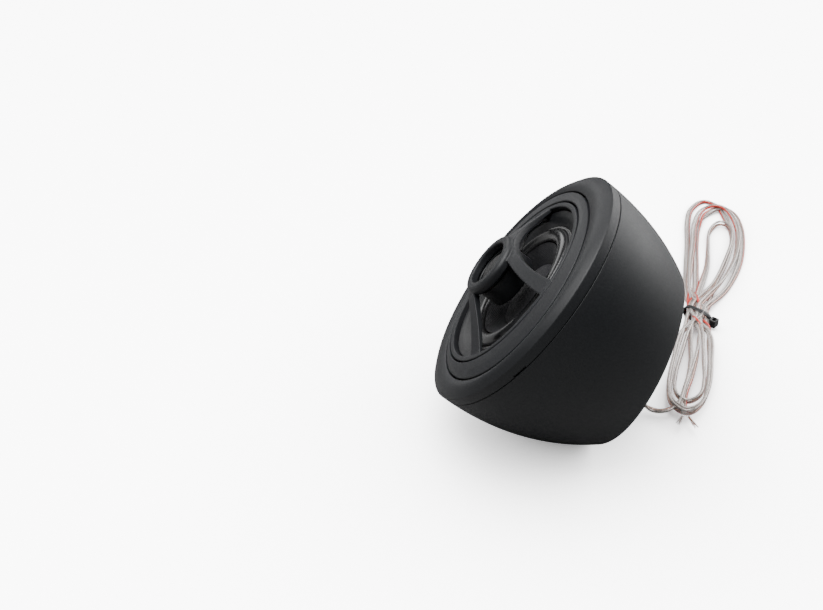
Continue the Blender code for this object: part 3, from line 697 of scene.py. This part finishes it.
def front_bezel(look):
    def section(angle):
        lip = oval_radius(angle, GROOVE / 2)
        band = POD_R - lip
        low, high = SEAM_Z + SEAM_HALF, CREASE_Z - 0.22
        points = [(POD_R - 0.16, low), (POD_R - 0.04, low + 0.05), (POD_R, low + 0.17)]
        points += [(POD_R, low + 0.17 + (high - low - 0.17) * k / 4) for k in (1, 2, 3, 4)]
        points += [(POD_R - 0.03, CREASE_Z - 0.10)]
        start, end = Vector((POD_R - 0.11, CREASE_Z)), Vector((lip + 0.22, -0.12))
        out = Vector((POD_R - 0.34 * band, CREST_Z - 0.50))
        back = Vector((lip + 0.46 * band, CREST_Z + 0.62))
        for step in range(15):
            t = step / 14
            point = (start * (1 - t) ** 3 + out * 3 * t * (1 - t) ** 2
                     + back * 3 * t ** 2 * (1 - t) + end * t ** 3)
            points.append((point.x, min(point.y, CREST_Z)))
        points += [(lip + 0.08, -0.20), (lip, -0.42), (lip, SEAT_TOP), (SEAT_R, SEAT_TOP),
                   (SEAT_R, SEAT_BOTTOM), (SKIRT_R_IN, SEAT_BOTTOM),
                   (SKIRT_R_IN, SEAM_Z - SKIRT_LONG), (SKIRT_R_OUT, SEAM_Z - SKIRT_LONG),
                   (SKIRT_R_OUT, SEAM_Z + SEAM_HALF)]
        return points

    bezel = spun(section, 240)
    notch = box(NOTCH_SIZE, POD
                @ Matrix.Translation(polar(POD_R, NOTCH_ANGLE, SEAM_Z + 0.3) * MM)
                @ Matrix.Rotation(math.radians(NOTCH_ANGLE), 4, "Z"))
    return dress(cut(bezel, [notch]), "pod_bezel", look, "housing", "front_bezel")


def trim_flange(look):
    def section(angle):
        rim, inner = oval_radius(angle, -GROOVE / 2), RING_R_OUT + GROOVE / 2
        middle = 0.5 * (rim + inner)
        return rounded([(rim, FLANGE_BOTTOM, 0), (rim, -0.05, 0.35), (middle, 0.75, 2.0),
                        (inner, 1.3, 0.35), (inner, FLANGE_BOTTOM, 0)])

    return dress(spun(section, 240), "pod_flange", look, "housing", "trim_flange")


# ---- bridge ----
def bridge_heights(radius):
    ramp = min(max((RING_R_IN - radius) / (RING_R_IN - HUB_R), 0.0), 1.0)
    top = RING_Z + (HUB_SHOULDER_Z - RING_Z) * ramp
    return top, top - BAR_THICK_RING - (BAR_THICK_HUB - BAR_THICK_RING) * ramp


def arc_edge(x, end, middle):
    rise = end[1] - middle
    radius = (end[0] ** 2 + rise ** 2) / (2 * rise)
    return middle + radius - math.sqrt(radius ** 2 - x ** 2)


def bar(side, steps=90, reach=1.04):
    """One curved bar, kept clear of the hub's bore; its ends run into the ring."""
    clear = 0.5 * (HUB_SKIRT_R + HUB_R)
    points, faces = [], []
    for i in range(steps + 1):
        f = 2 * i / steps - 1
        row = []
        for end, middle in ((BAR_END_OUT, BAR_MID_OUT), (BAR_END_IN, BAR_MID_IN)):
            x = f * end[0] * reach
            spot = Vector((x, side * arc_edge(x, end, middle)))
            if spot.length < clear:
                spot = spot.normalized() * clear
            row.append(spot)
        points += [(p.x, p.y, bridge_heights(p.length)[0]) for p in row]
        points += [(p.x, p.y, bridge_heights(p.length)[1]) for p in reversed(row)]
    for i in range(steps):
        faces += band(4 * (i + 1), 4 * i, 4)
    faces += [(0, 1, 2, 3), (4 * steps + 3, 4 * steps + 2, 4 * steps + 1, 4 * steps)]
    return place(mesh_from(points, faces))


def grille_bridge(look):
    outer = RING_R_OUT - GROOVE / 2
    ring = turned([(outer, RING_BOTTOM, 0), (outer, RING_Z, 0.3), (RING_R_IN, RING_Z, 0.25),
                   (RING_R_IN, RING_BOTTOM, 0)], 240)
    hub = turned([(HUB_HOLE_R, HUB_Z, 0.5), (HUB_R, HUB_Z, 2.3), (HUB_R, HUB_RIM, 0.3),
                  (HUB_SKIRT_R, HUB_RIM, 0.1), (HUB_SKIRT_R, HUB_INSIDE, 0),
                  (HUB_HOLE_R, HUB_INSIDE, 0)], 200, 8)
    bridge = joined((ring, hub, bar(1), bar(-1)), POD)
    melt = bridge.modifiers.new("melt", "REMESH")
    melt.mode, melt.voxel_size, melt.adaptivity = "VOXEL", MELT_VOXEL * MM, 0.0
    soften = bridge.modifiers.new("soften", "SMOOTH")
    soften.factor, soften.iterations = 0.5, 5
    return dress(bake(bridge, 80.0), "pod_bridge", look, "bridge", "grille_bridge")


# ---- inside the horn ----
def inside_horn(looks):
    horn = turned([(HORN_R_OUT, HORN_Z_OUT, 0.15), (24.6, -1.05, 3.0), (HORN_R_IN, HORN_Z_IN, 0.3),
                   (HORN_R_IN, HORN_BOTTOM, 0.1), (HORN_FOOT_R, HORN_BOTTOM, 0),
                   (HORN_FOOT_R, HORN_FOOT_TOP, 0), (HORN_R_OUT, HORN_FOOT_TOP, 0)], 200)
    cut(horn, [drill(LEAD_HOLE_R, 4, -8, polar(LEAD_HOLE_AT, a), segments=24)
               for a in LEAD_ANGLES])
    # the horn takes the darker inner plastic: painted shade
    dress(horn, "horn_flare", looks["inner"], "inner_plastic", "horn_ring")
    gasket = turned([(22.1, -3.1, 0.1), (22.1, -2.2, 0.2), (21.4, -2.2, 0.2), (21.4, -3.1, 0.1)])
    dress(gasket, "edge_gasket", looks["foam"], "gasket", "surround_gasket")

    half, middle = 0.5 * (SURROUND_OUT - SURROUND_IN), 0.5 * (SURROUND_OUT + SURROUND_IN)
    thick, turns = 0.4, [7.5 * k for k in range(25)]
    top = arc_points(half, SURROUND_Z, SURROUND_RISE, turns, middle)
    under = arc_points(half - thick, SURROUND_Z, SURROUND_RISE - thick, turns, middle)
    outline = ([(24.3, -3.65), (24.3, -3.4), (21.6, -3.4), (21.3, -3.3), (21.2, -2.9)] + top
               + [(SURROUND_IN - 0.02, -3.65)] + under[::-1] + [(SURROUND_OUT - thick, -3.65)])
    dress(spun(outline, 200), "edge_roll", looks["edge"], "edge_roll", "driver_surround")

    slope = (CONE_Z - NECK_Z) / (CONE_R - NECK_R)
    face, back = [], []
    for step in range(15):
        t = step / 14
        r = CONE_R + (NECK_R - CONE_R) * t
        z = CONE_Z - slope * (CONE_R - r) + CONE_BOW * t * (1 - t)
        face.append((r, z))
        back.append((r, z - CONE_THICK))
    cone = spun([(CONE_R - 0.15, CONE_Z)] + face[1:] + back[::-1])
    dress(cone, "cone", looks["cone"], "cone", "driver_cone", body="cone_body")
    cap = arc_points(DUST_CAP_R, DUST_CAP_Z, DUST_CAP_RISE, range(90, -1, -6))
    lining = arc_points(DUST_CAP_R - 0.3, DUST_CAP_Z, DUST_CAP_RISE - 0.35, range(0, 91, 6))
    cap[0], lining[-1] = (0, cap[0][1]), (0, lining[-1][1])
    cover = spun(cap + lining, 120, True)
    dress(cover, "cone_cap", looks["cone"], "cone", "dust_cap", body="cone_body")


def dome_pieces(looks):
    ring = turned([(8.5, 6.9, 0.1), (8.5, 7.9, 0.1), (6.9, 7.9, 0.35), (6.9, 6.9, 0.1)], 120)
    dress(ring, "dome_clamp", looks["inner"], "inner_plastic", "dome_ring")
    thick = 0.3
    shape = arc_points(DOME_R, DOME_Z, DOME_RISE, range(90, -1, -5))
    under = arc_points(DOME_R - thick, DOME_Z, DOME_RISE - thick, range(0, 91, 5))
    rim = [(DOME_R + 0.15, DOME_Z + 0.12), (DOME_R + 0.4, DOME_Z), (DOME_R + 0.4, DOME_Z - thick),
           (DOME_R - thick, DOME_Z - thick)]
    shape[0], under[-1] = (0, shape[0][1]), (0, under[-1][1])
    dome = spun(shape + rim + under, 120, True)
    dress(dome, "silk_dome", looks["dome"], "dome", "tweeter_dome", body="dome_body")
    cap = turned([(0, BACK_CAP_FLOOR, 0), (7.8, BACK_CAP_FLOOR, 0), (7.9, BACK_CAP_TOP, 0),
                  (BACK_CAP_R, BACK_CAP_TOP, 0.15), (BACK_CAP_R, 0.3, 0.8), (7.9, -0.1, 0.6),
                  (0, -0.1, 0)], 120, poles=True)
    dress(cap, "dome_back_cap", looks["inner"], "inner_plastic", "tweeter_back_cap")


def grommet(looks):
    outline = [(1.6, 4.2), (2.15, 4.2), (2.3, 4.05), (2.6, 1.5), (2.8, 1.25), (4.0, 1.1),
               (4.2, 0.9), (4.2, 0.3), (2.6, 0.3), (2.6, -2.9), (3.6, -2.9), (3.3, -4.0),
               (1.6, -4.0)]
    local = (Matrix.Translation(on_back(0, CABLE_Y) * MM)
             @ Matrix.Rotation(math.radians(BACK_TILT - 180), 4, "X"))
    rubber_ring = spun(outline, 64, matrix=POD @ local)
    dress(rubber_ring, "lead_grommet", looks["grommet"], "grommet", "cable_grommet")


# ---- the twin lead ----
LEAD_STEP = 1.0                 # distance between worked points
SEARCH_ROWS = 80                # worked rows in which the lead comes down to the floor
LANDING_ROWS = 14               # rows over which it takes up its height on the floor
OWN_ROWS = 8                    # neighbours along the lead that it doesn't lie on
SETTLE_ROUNDS = 14
FLAT_HEIGHT = 0.64              # middle of the lead above the floor where it lies flat
HUMP_SLOPE = 0.16               # how steeply it climbs over itself
STACK = 3.4                     # the tied runs press down to no more than this above the first
HEAVY = 90                      # roll that stands the lead on edge with its red lobe down
DROP = ((-1.8, 27.4, 10.6), (-4.0, 30.4, 5.8), (-5.3, 32.3, 2.4))      # world, off the grommet
# Route points on the floor are (along the hank, across it, roll); a roll left out is 0, which puts
# the red lobe on the lead's left. ENTRY leads up to the tie for the first time.
ENTRY = ((-0.4, -7.2), (0.6, -4.6, 20), (4.5, -2.6, 60), (14.0, -1.2, HEAVY), (28.0, -0.4, HEAVY),
         (46.0, -1.4, 60))
# Each loop beyond the tie, out and back, then the fold between it and the next.
UPPER = (
    ((79, -5.0, -200), (97, -5.9, -195), (118, -6.8, -190), (135, -7.9, -185), (149, -7.2, -180),
     (158.4, -2.2, -180), (155, 3.2, -180), (144, 7.2, -200), (128, 10.4, -230), (105, 9.0, -250),
     (82, 5.0, -270)),
    ((80, -1.6, -180), (98, -2.3, -180), (118, -3.5, -178), (134, -3.4, -165), (145, -0.6, -60),
     (151.4, 5.2, -10), (148, 10.4), (138.5, 13.4), (123, 14.6), (105, 13.8, 15), (86, 10.2, 60)),
    ((74, -0.4), (87, 0.6, 5), (101, 1.8, 30), (116, 1.4, 80), (130, 1.4, 110), (138.0, 5.0, 100),
     (134, 9.4, 90), (124, 10.4, 90), (105, 8.2, 90), (84, 4.6, 80)),
    ((76, -3.4, -240), (94, -4.4, -220), (116, -4.6, -200), (134, -4.9, -190), (147.5, -2.2, -180),
     (151.5, 3.6, -170), (145, 9.4, -170), (132, 12.4, -200), (112, 12.4, -230), (88, 8.4, -250)),
)
LOWER = (
    ((47, 4.6), (32, 5.6), (17, 5.8), (6.0, 4.6), (0.9, 0.0), (5.6, -5.0), (17, -5.9), (33, -5.3),
     (47, -4.0)),
    ((46, 2.8), (31, 3.8), (19, 4.6), (9.4, 3.6), (5.2, -0.6), (9.6, -4.0), (21, -4.6), (35, -3.4),
     (48, -2.2)),
    ((47, 5.2), (30, 6.5), (15, 6.4), (4.0, 4.0), (-0.6, 0.6), (2.6, -4.4), (13, -6.5), (30, -6.1),
     (46, -4.6)),
)
FREE_RUN = ((48.0, 1.4, HEAVY), (33.0, 1.4, 60), (20.0, 0.2, 30), (9.0, -1.2), (2.6, -1.0),
            (-0.8, -0.3))
TIE_LANES = (-1.4, 3.2, -3.0, 1.7, 0.2, -2.2, 2.4, -0.6)    # where each run passes the tie


def hank_point(along, across, height):
    start, end = Vector(HANK_START), Vector(HANK_END)
    line = (end - start).normalized()
    spot = start + line * along + Vector((line.y, -line.x)) * across
    return Vector((spot.x, spot.y, height))


def lead_route():
    """The whole lead from inside the grommet to its free end, as rows of world millimetres and a
    roll; the first few rows are in the air, the rest are given a height afterwards."""
    into = [POD @ (on_back(0, CABLE_Y, out) * MM) / MM for out in (-3.6, 1.5, 5.0)]
    lanes = iter(TIE_LANES)
    flat = [*ENTRY, (TIE_AT, next(lanes), HEAVY)]
    for number, loop in enumerate(UPPER):
        flat += [*loop, (TIE_AT, next(lanes), loop[-1][2])]
        if number < len(LOWER):
            flat += [(*p, HEAVY) for p in (*LOWER[number], (TIE_AT, next(lanes)))]
    flat += FREE_RUN
    rows = [(*p, 0.0) for p in (*into, *DROP)]
    rows += [(*hank_point(*p[:2], FLAT_HEIGHT), p[2] if len(p) > 2 else 0.0) for p in flat]
    return np.array(rows)


def smooth_points(route, steps=14):
    """Evenly spaced rows on the centripetal curve through the route's rows."""
    ends = np.vstack([2 * route[0] - route[1], route, 2 * route[-1] - route[-2]])
    fine = []
    for four in (ends[i:i + 4] for i in range(len(ends) - 3)):
        knots = np.concatenate([[0], np.cumsum(np.sqrt(spans(four)))])
        for t in np.linspace(knots[1], knots[2], steps, endpoint=False):
            def mix(a, b, low, high):
                return a + (b - a) * (t - knots[low]) / (knots[high] - knots[low])
            first = [mix(four[k], four[k + 1], k, k + 1) for k in range(3)]
            second = [mix(first[k], first[k + 1], k, k + 2) for k in range(2)]
            fine.append(mix(*second, 1, 2))
    line = np.vstack([fine, route[-1]])
    along = np.concatenate([[0], np.cumsum(spans(line))])
    at = np.linspace(0, along[-1], int(along[-1] / LEAD_STEP) + 1)
    return np.stack([np.interp(at, along, line[:, k]) for k in range(4)], axis=1)


def spans(line):
    """Distances between neighbouring rows."""
    return np.linalg.norm(np.diff(line[:, :3], axis=0), axis=1)


def softened(values, width):
    """Values smoothed along the lead with a bell of that many points, ends kept."""
    reach = int(3 * width)
    bell = np.exp(-0.5 * (np.arange(-reach, reach + 1) / width) ** 2)
    padded = np.concatenate([2 * values[:1] - values[reach:0:-1], values,
                             2 * values[-1:] - values[-2:-reach - 2:-1]])
    return np.convolve(padded, bell / bell.sum(), "valid")


def lay_down(line, free_from):
    """Give each row on the floor its height: a later run lies on the earlier ones it crosses,
    and climbs to them in a long low hump; a run on its edge stands higher."""
    for k, width in enumerate((1.6, 1.6, 1.6, 3.0)):
        line[:, k] = softened(line[:, k], width)
    count = len(line)
    flat = line[:, :2]
    on_edge = 0.5 * (TWIN_WIDE - TWIN_THICK) * np.abs(np.sin(np.radians(line[:, 3])))
    gap = np.linalg.norm(flat[:, None] - flat[None], axis=2)
    order = np.arange(count)
    later, earlier = np.nonzero((gap < TWIN_WIDE) & (np.subtract.outer(order, order) > OWN_ROWS))
    keep = earlier >= free_from
    later, earlier = later[keep], earlier[keep]
    beside = np.clip((gap[later, earlier] - TWIN_THICK) / TWIN_THICK, 0, 1)
    clear = (TWIN_THICK + 0.08) * np.sqrt(1 - beside ** 2)
    base = np.where(order < free_from, line[:, 2], FLAT_HEIGHT + on_edge)
    height = base.copy()
    for _ in range(SETTLE_ROUNDS):
        hump = base.copy()
        np.maximum.at(hump, later, height[earlier] + clear)
        need = hump.copy()
        for way in (range(1, count), range(count - 2, -1, -1)):
            for i in way:
                hump[i] = max(hump[i], hump[i - way.step] - HUMP_SLOPE * LEAD_STEP)
        height = np.maximum(need, softened(hump, 2.2))
        height[:free_from] = base[:free_from]
    ramp = np.clip((order - free_from + LANDING_ROWS) / LANDING_ROWS, 0, 1)
    height = FLAT_HEIGHT + STACK * np.tanh((height - FLAT_HEIGHT) / STACK)
    line[:, 2] = np.where(order < free_from - LANDING_ROWS, base,
                          base * (1 - ramp) + softened(height, 3.0) * ramp)
    line[:, 2] = np.maximum(line[:, 2], FLAT_HEIGHT + np.where(order < free_from, 0, on_edge))
    line[:, 2] = np.where(order > 6, softened(line[:, 2], 1.5), line[:, 2])
    return line


def side_up(line):
    """Level sideways direction and upward direction at each row of a line."""
    tangent = np.gradient(line[:, :3], axis=0)
    tangent /= np.linalg.norm(tangent, axis=1)[:, None]
    side = np.cross(tangent, (0, 0, 1.0))
    side /= np.linalg.norm(side, axis=1)[:, None]
    return side, np.cross(side, tangent)


def lead_frames(line):
    """Directions across the lead and out of its flat face, rolling a little of its own."""
    side, up = side_up(line)
    at = np.arange(len(line)) * LEAD_STEP
    roll = line[:, 3] + 7 * np.sin(at / 13.0) + 4 * np.sin(at / 5.3 + 1.0)
    turn = np.radians(roll)[:, None]
    return side * np.cos(turn) + up * np.sin(turn), up * np.cos(turn) - side * np.sin(turn)


def along_lead(line, side, up, section, marked=()):
    """Sweep a closed section, points of (sideways, upward), along the lead; the faces whose
    number round the section is in marked take the second material."""
    count = len(section)
    points = [tuple(p + s * a + u * b) for p, s, u in zip(line, side, up) for a, b in section]
    faces = []
    last = (len(line) - 1) * count
    for here in range(0, last, count):
        faces += band(here, here + count, count)
    faces += [tuple(range(count)), tuple(last + j for j in reversed(range(count)))]
    mesh = mesh_from(points, faces, 50)
    for face in mesh.polygons[:-2]:
        if face.index % count in marked:
            face.material_index = 1
    return place(mesh, WORLD)


def circle(radius, middle=0.0, sides=10):
    return [(middle + radius * math.cos(2 * math.pi * k / sides),
             radius * math.sin(2 * math.pi * k / sides)) for k in range(sides)]


def twin_lead(looks):
    """The flat twin lead, its two stranded cores, its split end and its bare wires."""
    route = lead_route()
    in_air = 3 + len(DROP)
    line = smooth_points(route)
    free_from = int(np.argmin(np.linalg.norm(line[:SEARCH_ROWS, :3] - route[in_air, :3], axis=1)))
    line = lay_down(line, free_from)
    side, up = lead_frames(line)
    line = line[:, :3]
    lobe = 0.5 * TWIN_THICK
    arc = [math.radians(a) for a in range(-150, 151, 25)]
    section = [(lobe + lobe * math.cos(a), lobe * math.sin(a)) for a in arc]
    section += [(-lobe - lobe * math.cos(a), -lobe * math.sin(a)) for a in arc]
    stripe = range(len(arc) + 3, len(arc) + 9)
    jacket = along_lead(line, side, up, section, stripe)
    dress(jacket, "twin_lead", (looks["jacket"], looks["stripe"]), "lead", "supply_lead",
          "lead_hank")
    pieces = []
    for word, middle, look, slot in (("copper", -lobe, "copper_strands", "copper"),
                                     ("tinned", lobe, "tinned_strands", "nickel")):
        core = along_lead(line[1:-1], side[1:-1], up[1:-1], circle(CORE_R, middle))
        pieces.append(dress(core, f"core_{word}", looks[look], slot))
    pieces += split_end(looks, line, side)
    pieces += tie(looks, line)


def tube_along(points, radius, sides):
    line = np.array([tuple(p) for p in points])
    return along_lead(line, *side_up(line), circle(radius, 0.0, sides))


LEG_LONG, BARE_WIRES, WIRE_R, BUNCH_R = 3.0, 8, 0.10, 0.22
LEGS = (    # name, side of the lead, look, slot, spread, length of bare wire
    ("red", -1, "copper_strands", "copper", 0.22, 4.4),
    ("clear", 1, "tinned_strands", "nickel", 0.30, 3.4),
)


def bare_wires(start, heading, bare, sign):
    """One middle wire and a ring of wires round it, which fan out and sag to the floor."""
    across, wires = Vector((-heading.y, heading.x, 0)), []
    for k in range(BARE_WIRES + 1):
        turn = 2 * math.pi * k / BARE_WIRES
        ring = BUNCH_R if k < BARE_WIRES else 0.0
        offset = across * ring * math.cos(turn) + Vector((0, 0, ring * math.sin(turn)))
        fan = across * 0.8 * math.cos(turn) * (0.6 + 0.4 * math.sin(3.1 * k))
        tip = bare + 0.9 * math.sin(2.3 * k + sign)
        path = [start + offset + heading * tip * t + fan * t * t - Vector((0, 0, 0.4 * t * t))
                for t in (j / 7 for j in range(8))]
        for spot in path:
            spot.z = max(spot.z, WIRE_R + 0.02)
        wires.append(tube_along(path, WIRE_R, 6))
    return wires


def split_end(looks, line, side):
    """The last of the lead pulled apart into two legs, each with its bare wires fanned out."""
    end, ahead = Vector(line[-1]), Vector(line[-1] - line[-3]).normalized()
    lobe = 0.5 * TWIN_THICK
    made = []
    for word, sign, look, slot, spread, bare in LEGS:
        out = Vector(side[-1]) * sign
        start = end + out * lobe - ahead * 0.4
        leg = [start + ahead * LEG_LONG * t + out * spread * LEG_LONG * t * t
               - Vector((0, 0, 0.05 * t)) for t in (k / 8 for k in range(9))]
        made.append(dress(tube_along(leg, lobe, 12), f"leg_{word}", looks["jacket"], "lead"))
        heading = (leg[-1] - leg[-2]).normalized()
        bunch = joined(bare_wires(leg[-1] - heading, heading, bare, sign), WORLD)
        made.append(dress(bunch, f"strands_{word}", looks[look], slot, f"bare_end_{word}"))
    return made


def tie(looks, line):
    """Thin nylon tie drawn round the runs of the hank, with its ridged band and its head."""
    middle = hank_point(TIE_AT, 0.1, 0.0)
    run = Vector(HANK_END) - Vector(HANK_START)
    heading = math.atan2(run.y, run.x) + math.radians(TIE_SKEW)
    across = np.array([-math.sin(heading), math.cos(heading)])
    near = line[np.linalg.norm(line[:, :2] - np.array(middle.xy), axis=1) < 5.0]
    reach = np.abs((near[:, :2] - np.array(middle.xy)) @ across)
    top = float(near[:, 2].max()) + 0.75
    half, low, count = min(float(reach.max()) + 0.4, 5.2), 0.42, 96
    frame_at = Matrix.Translation(middle * MM) @ Matrix.Rotation(heading, 4, "Z")
    rows = []
    for i in range(count):
        turn = 2 * math.pi * i / count
        c, s = (math.copysign(abs(v) ** 0.62, v) for v in (math.cos(turn), math.sin(turn)))
        rows.append((half * c, 0.5 * (low + top) + 0.5 * (top - low) * s))
    profile = [(-1.0, 0.0), (-0.94, 0.30), (-0.75, 0.38), (0.75, 0.38), (0.94, 0.30), (1.0, 0.0),
               (0.8, -0.18), (-0.8, -0.18)]
    points, faces, rim = [], [], len(profile)
    for i, (y, z) in enumerate(rows):
        before, after = rows[i - 1], rows[(i + 1) % count]
        normal = Vector((after[1] - before[1], before[0] - after[0])).normalized()
        for x, lift in profile:
            lift += 0.06 if lift > 0.35 and i % 2 else 0.0
            points.append((x, y + normal.x * lift, max(z + normal.y * lift, 0.02)))
        faces += band((i + 1) % count * rim, i * rim, rim)
    strap = place(mesh_from(points, faces), frame_at)
    head = box(TIE_HEAD, frame_at
               @ Matrix.Translation(Vector((0, -half - 1.75, 0.45 * top + 0.3)) * MM))
    cut(head, [box(TIE_SLOT, head.matrix_world.copy())])
    round_off = head.modifiers.new("round", "BEVEL")
    round_off.width, round_off.segments, round_off.limit_method = 0.6 * MM, 4, "ANGLE"
    return [dress(strap, "tie_strap", looks["nylon"], "nylon", "tie_band"),
            dress(bake(head, 30), "tie_lock", looks["nylon"], "nylon", "tie_head")]


# ---- carried-over CAD nodes ----
def dress_cad(looks):
    """Give the CAD nodes that show through, or lie inside, their own looks."""
    for node, look in CAD_LOOKS.items():
        obj = frame["nodes"][node]
        obj.data.materials.clear()
        obj.data.materials.append(looks[look])


CAD_LOOKS = {
    "driver_basket": "basket", "top_plate": "zinc", "ring_magnet": "ferrite",
    "pole_yoke": "zinc", "driver_spider": "spider", "coil_former": "foil",
    "voice_coil": "copper_coil", "tweeter_coil": "fine_coil", "tweeter_pole_disc": "zinc",
    "tweeter_magnet": "nickel", "tweeter_yoke": "zinc", "terminal_strip": "board",
    "terminal_minus": "nickel", "terminal_plus": "nickel", "crossover_capacitor": "sleeve",
    "inner_lead_red": "red_wire", "inner_lead_clear": "clear_wire",
    "tweeter_lead_left": "black_wire", "tweeter_lead_right": "black_wire",
    **{f"basket_screw_{k}": "screw" for k in (1, 2, 3, 4)},
}


def all_looks():
    return {
        "housing": moulded("housing_plastic", (0.0075, 0.0082, 0.0095), 0.50, 0.42, 0.020),
        "bridge": moulded("bridge_plastic", (0.0080, 0.0087, 0.0100), 0.48, 0.34, 0.014),
        # darker copy of the moulded plastic for the parts deep inside the pod: painted shade
        "inner": moulded("shaded_horn_plastic", (0.0045, 0.0050, 0.0058), 0.44, 0.30, 0.010),
        "edge": rubber_edge("edge_rubber"), "cone": woven_cone("woven_cone"),
        "dome": woven_dome("silk"), "foam": foam("gasket_foam"),
        "grommet": rubber("grommet_rubber", (0.012, 0.012, 0.012)),
        "jacket": clear_jacket("clear_pvc"), "stripe": red_stripe("red_stripe"),
        "copper_strands": strands("copper_strands", (0.80, 0.50, 0.40)),
        "tinned_strands": strands("tinned_strands", (0.78, 0.70, 0.66)),
        "nylon": plastic("tie_nylon", (0.010, 0.010, 0.011), 0.38),
        "basket": steel("painted_basket", (0.03, 0.03, 0.032), 0.5),
        "zinc": steel("zinc_plate", (0.52, 0.53, 0.55), 0.36),
        "screw": steel("screw_zinc", (0.42, 0.43, 0.44), 0.30),
        "nickel": steel("nickel_plate", (0.68, 0.66, 0.62), 0.22),
        "foil": steel("former_foil", (0.75, 0.75, 0.76), 0.3),
        "ferrite": fired_ferrite("ferrite"),
        "spider": cloth("spider_cloth", (0.42, 0.28, 0.09), 0.7, 0.08),
        "copper_coil": winding("coil_wire", (0.75, 0.36, 0.18), 0.24),
        "fine_coil": winding("fine_coil_wire", (0.72, 0.33, 0.16), 0.12),
        "board": plastic("phenolic_board", (0.20, 0.10, 0.04), 0.55, mottle=0.35),
        "sleeve": plastic("shrink_sleeve", (0.02, 0.04, 0.14), 0.35, coat=0.3),
        "red_wire": plastic("red_pvc", (0.50, 0.03, 0.03), 0.38),
        "clear_wire": plastic("pale_pvc", (0.66, 0.66, 0.62), 0.30),
        "black_wire": plastic("black_pvc", (0.012, 0.012, 0.012), 0.45),
    }


def build():
    looks = all_looks()
    twin_lead(looks)
    room()
    rear_shell(looks["housing"])
    front_bezel(looks["housing"])
    trim_flange(looks["housing"])
    grille_bridge(looks["bridge"])
    inside_horn(looks)
    dome_pieces(looks)
    grommet(looks)
    dress_cad(looks)


build()
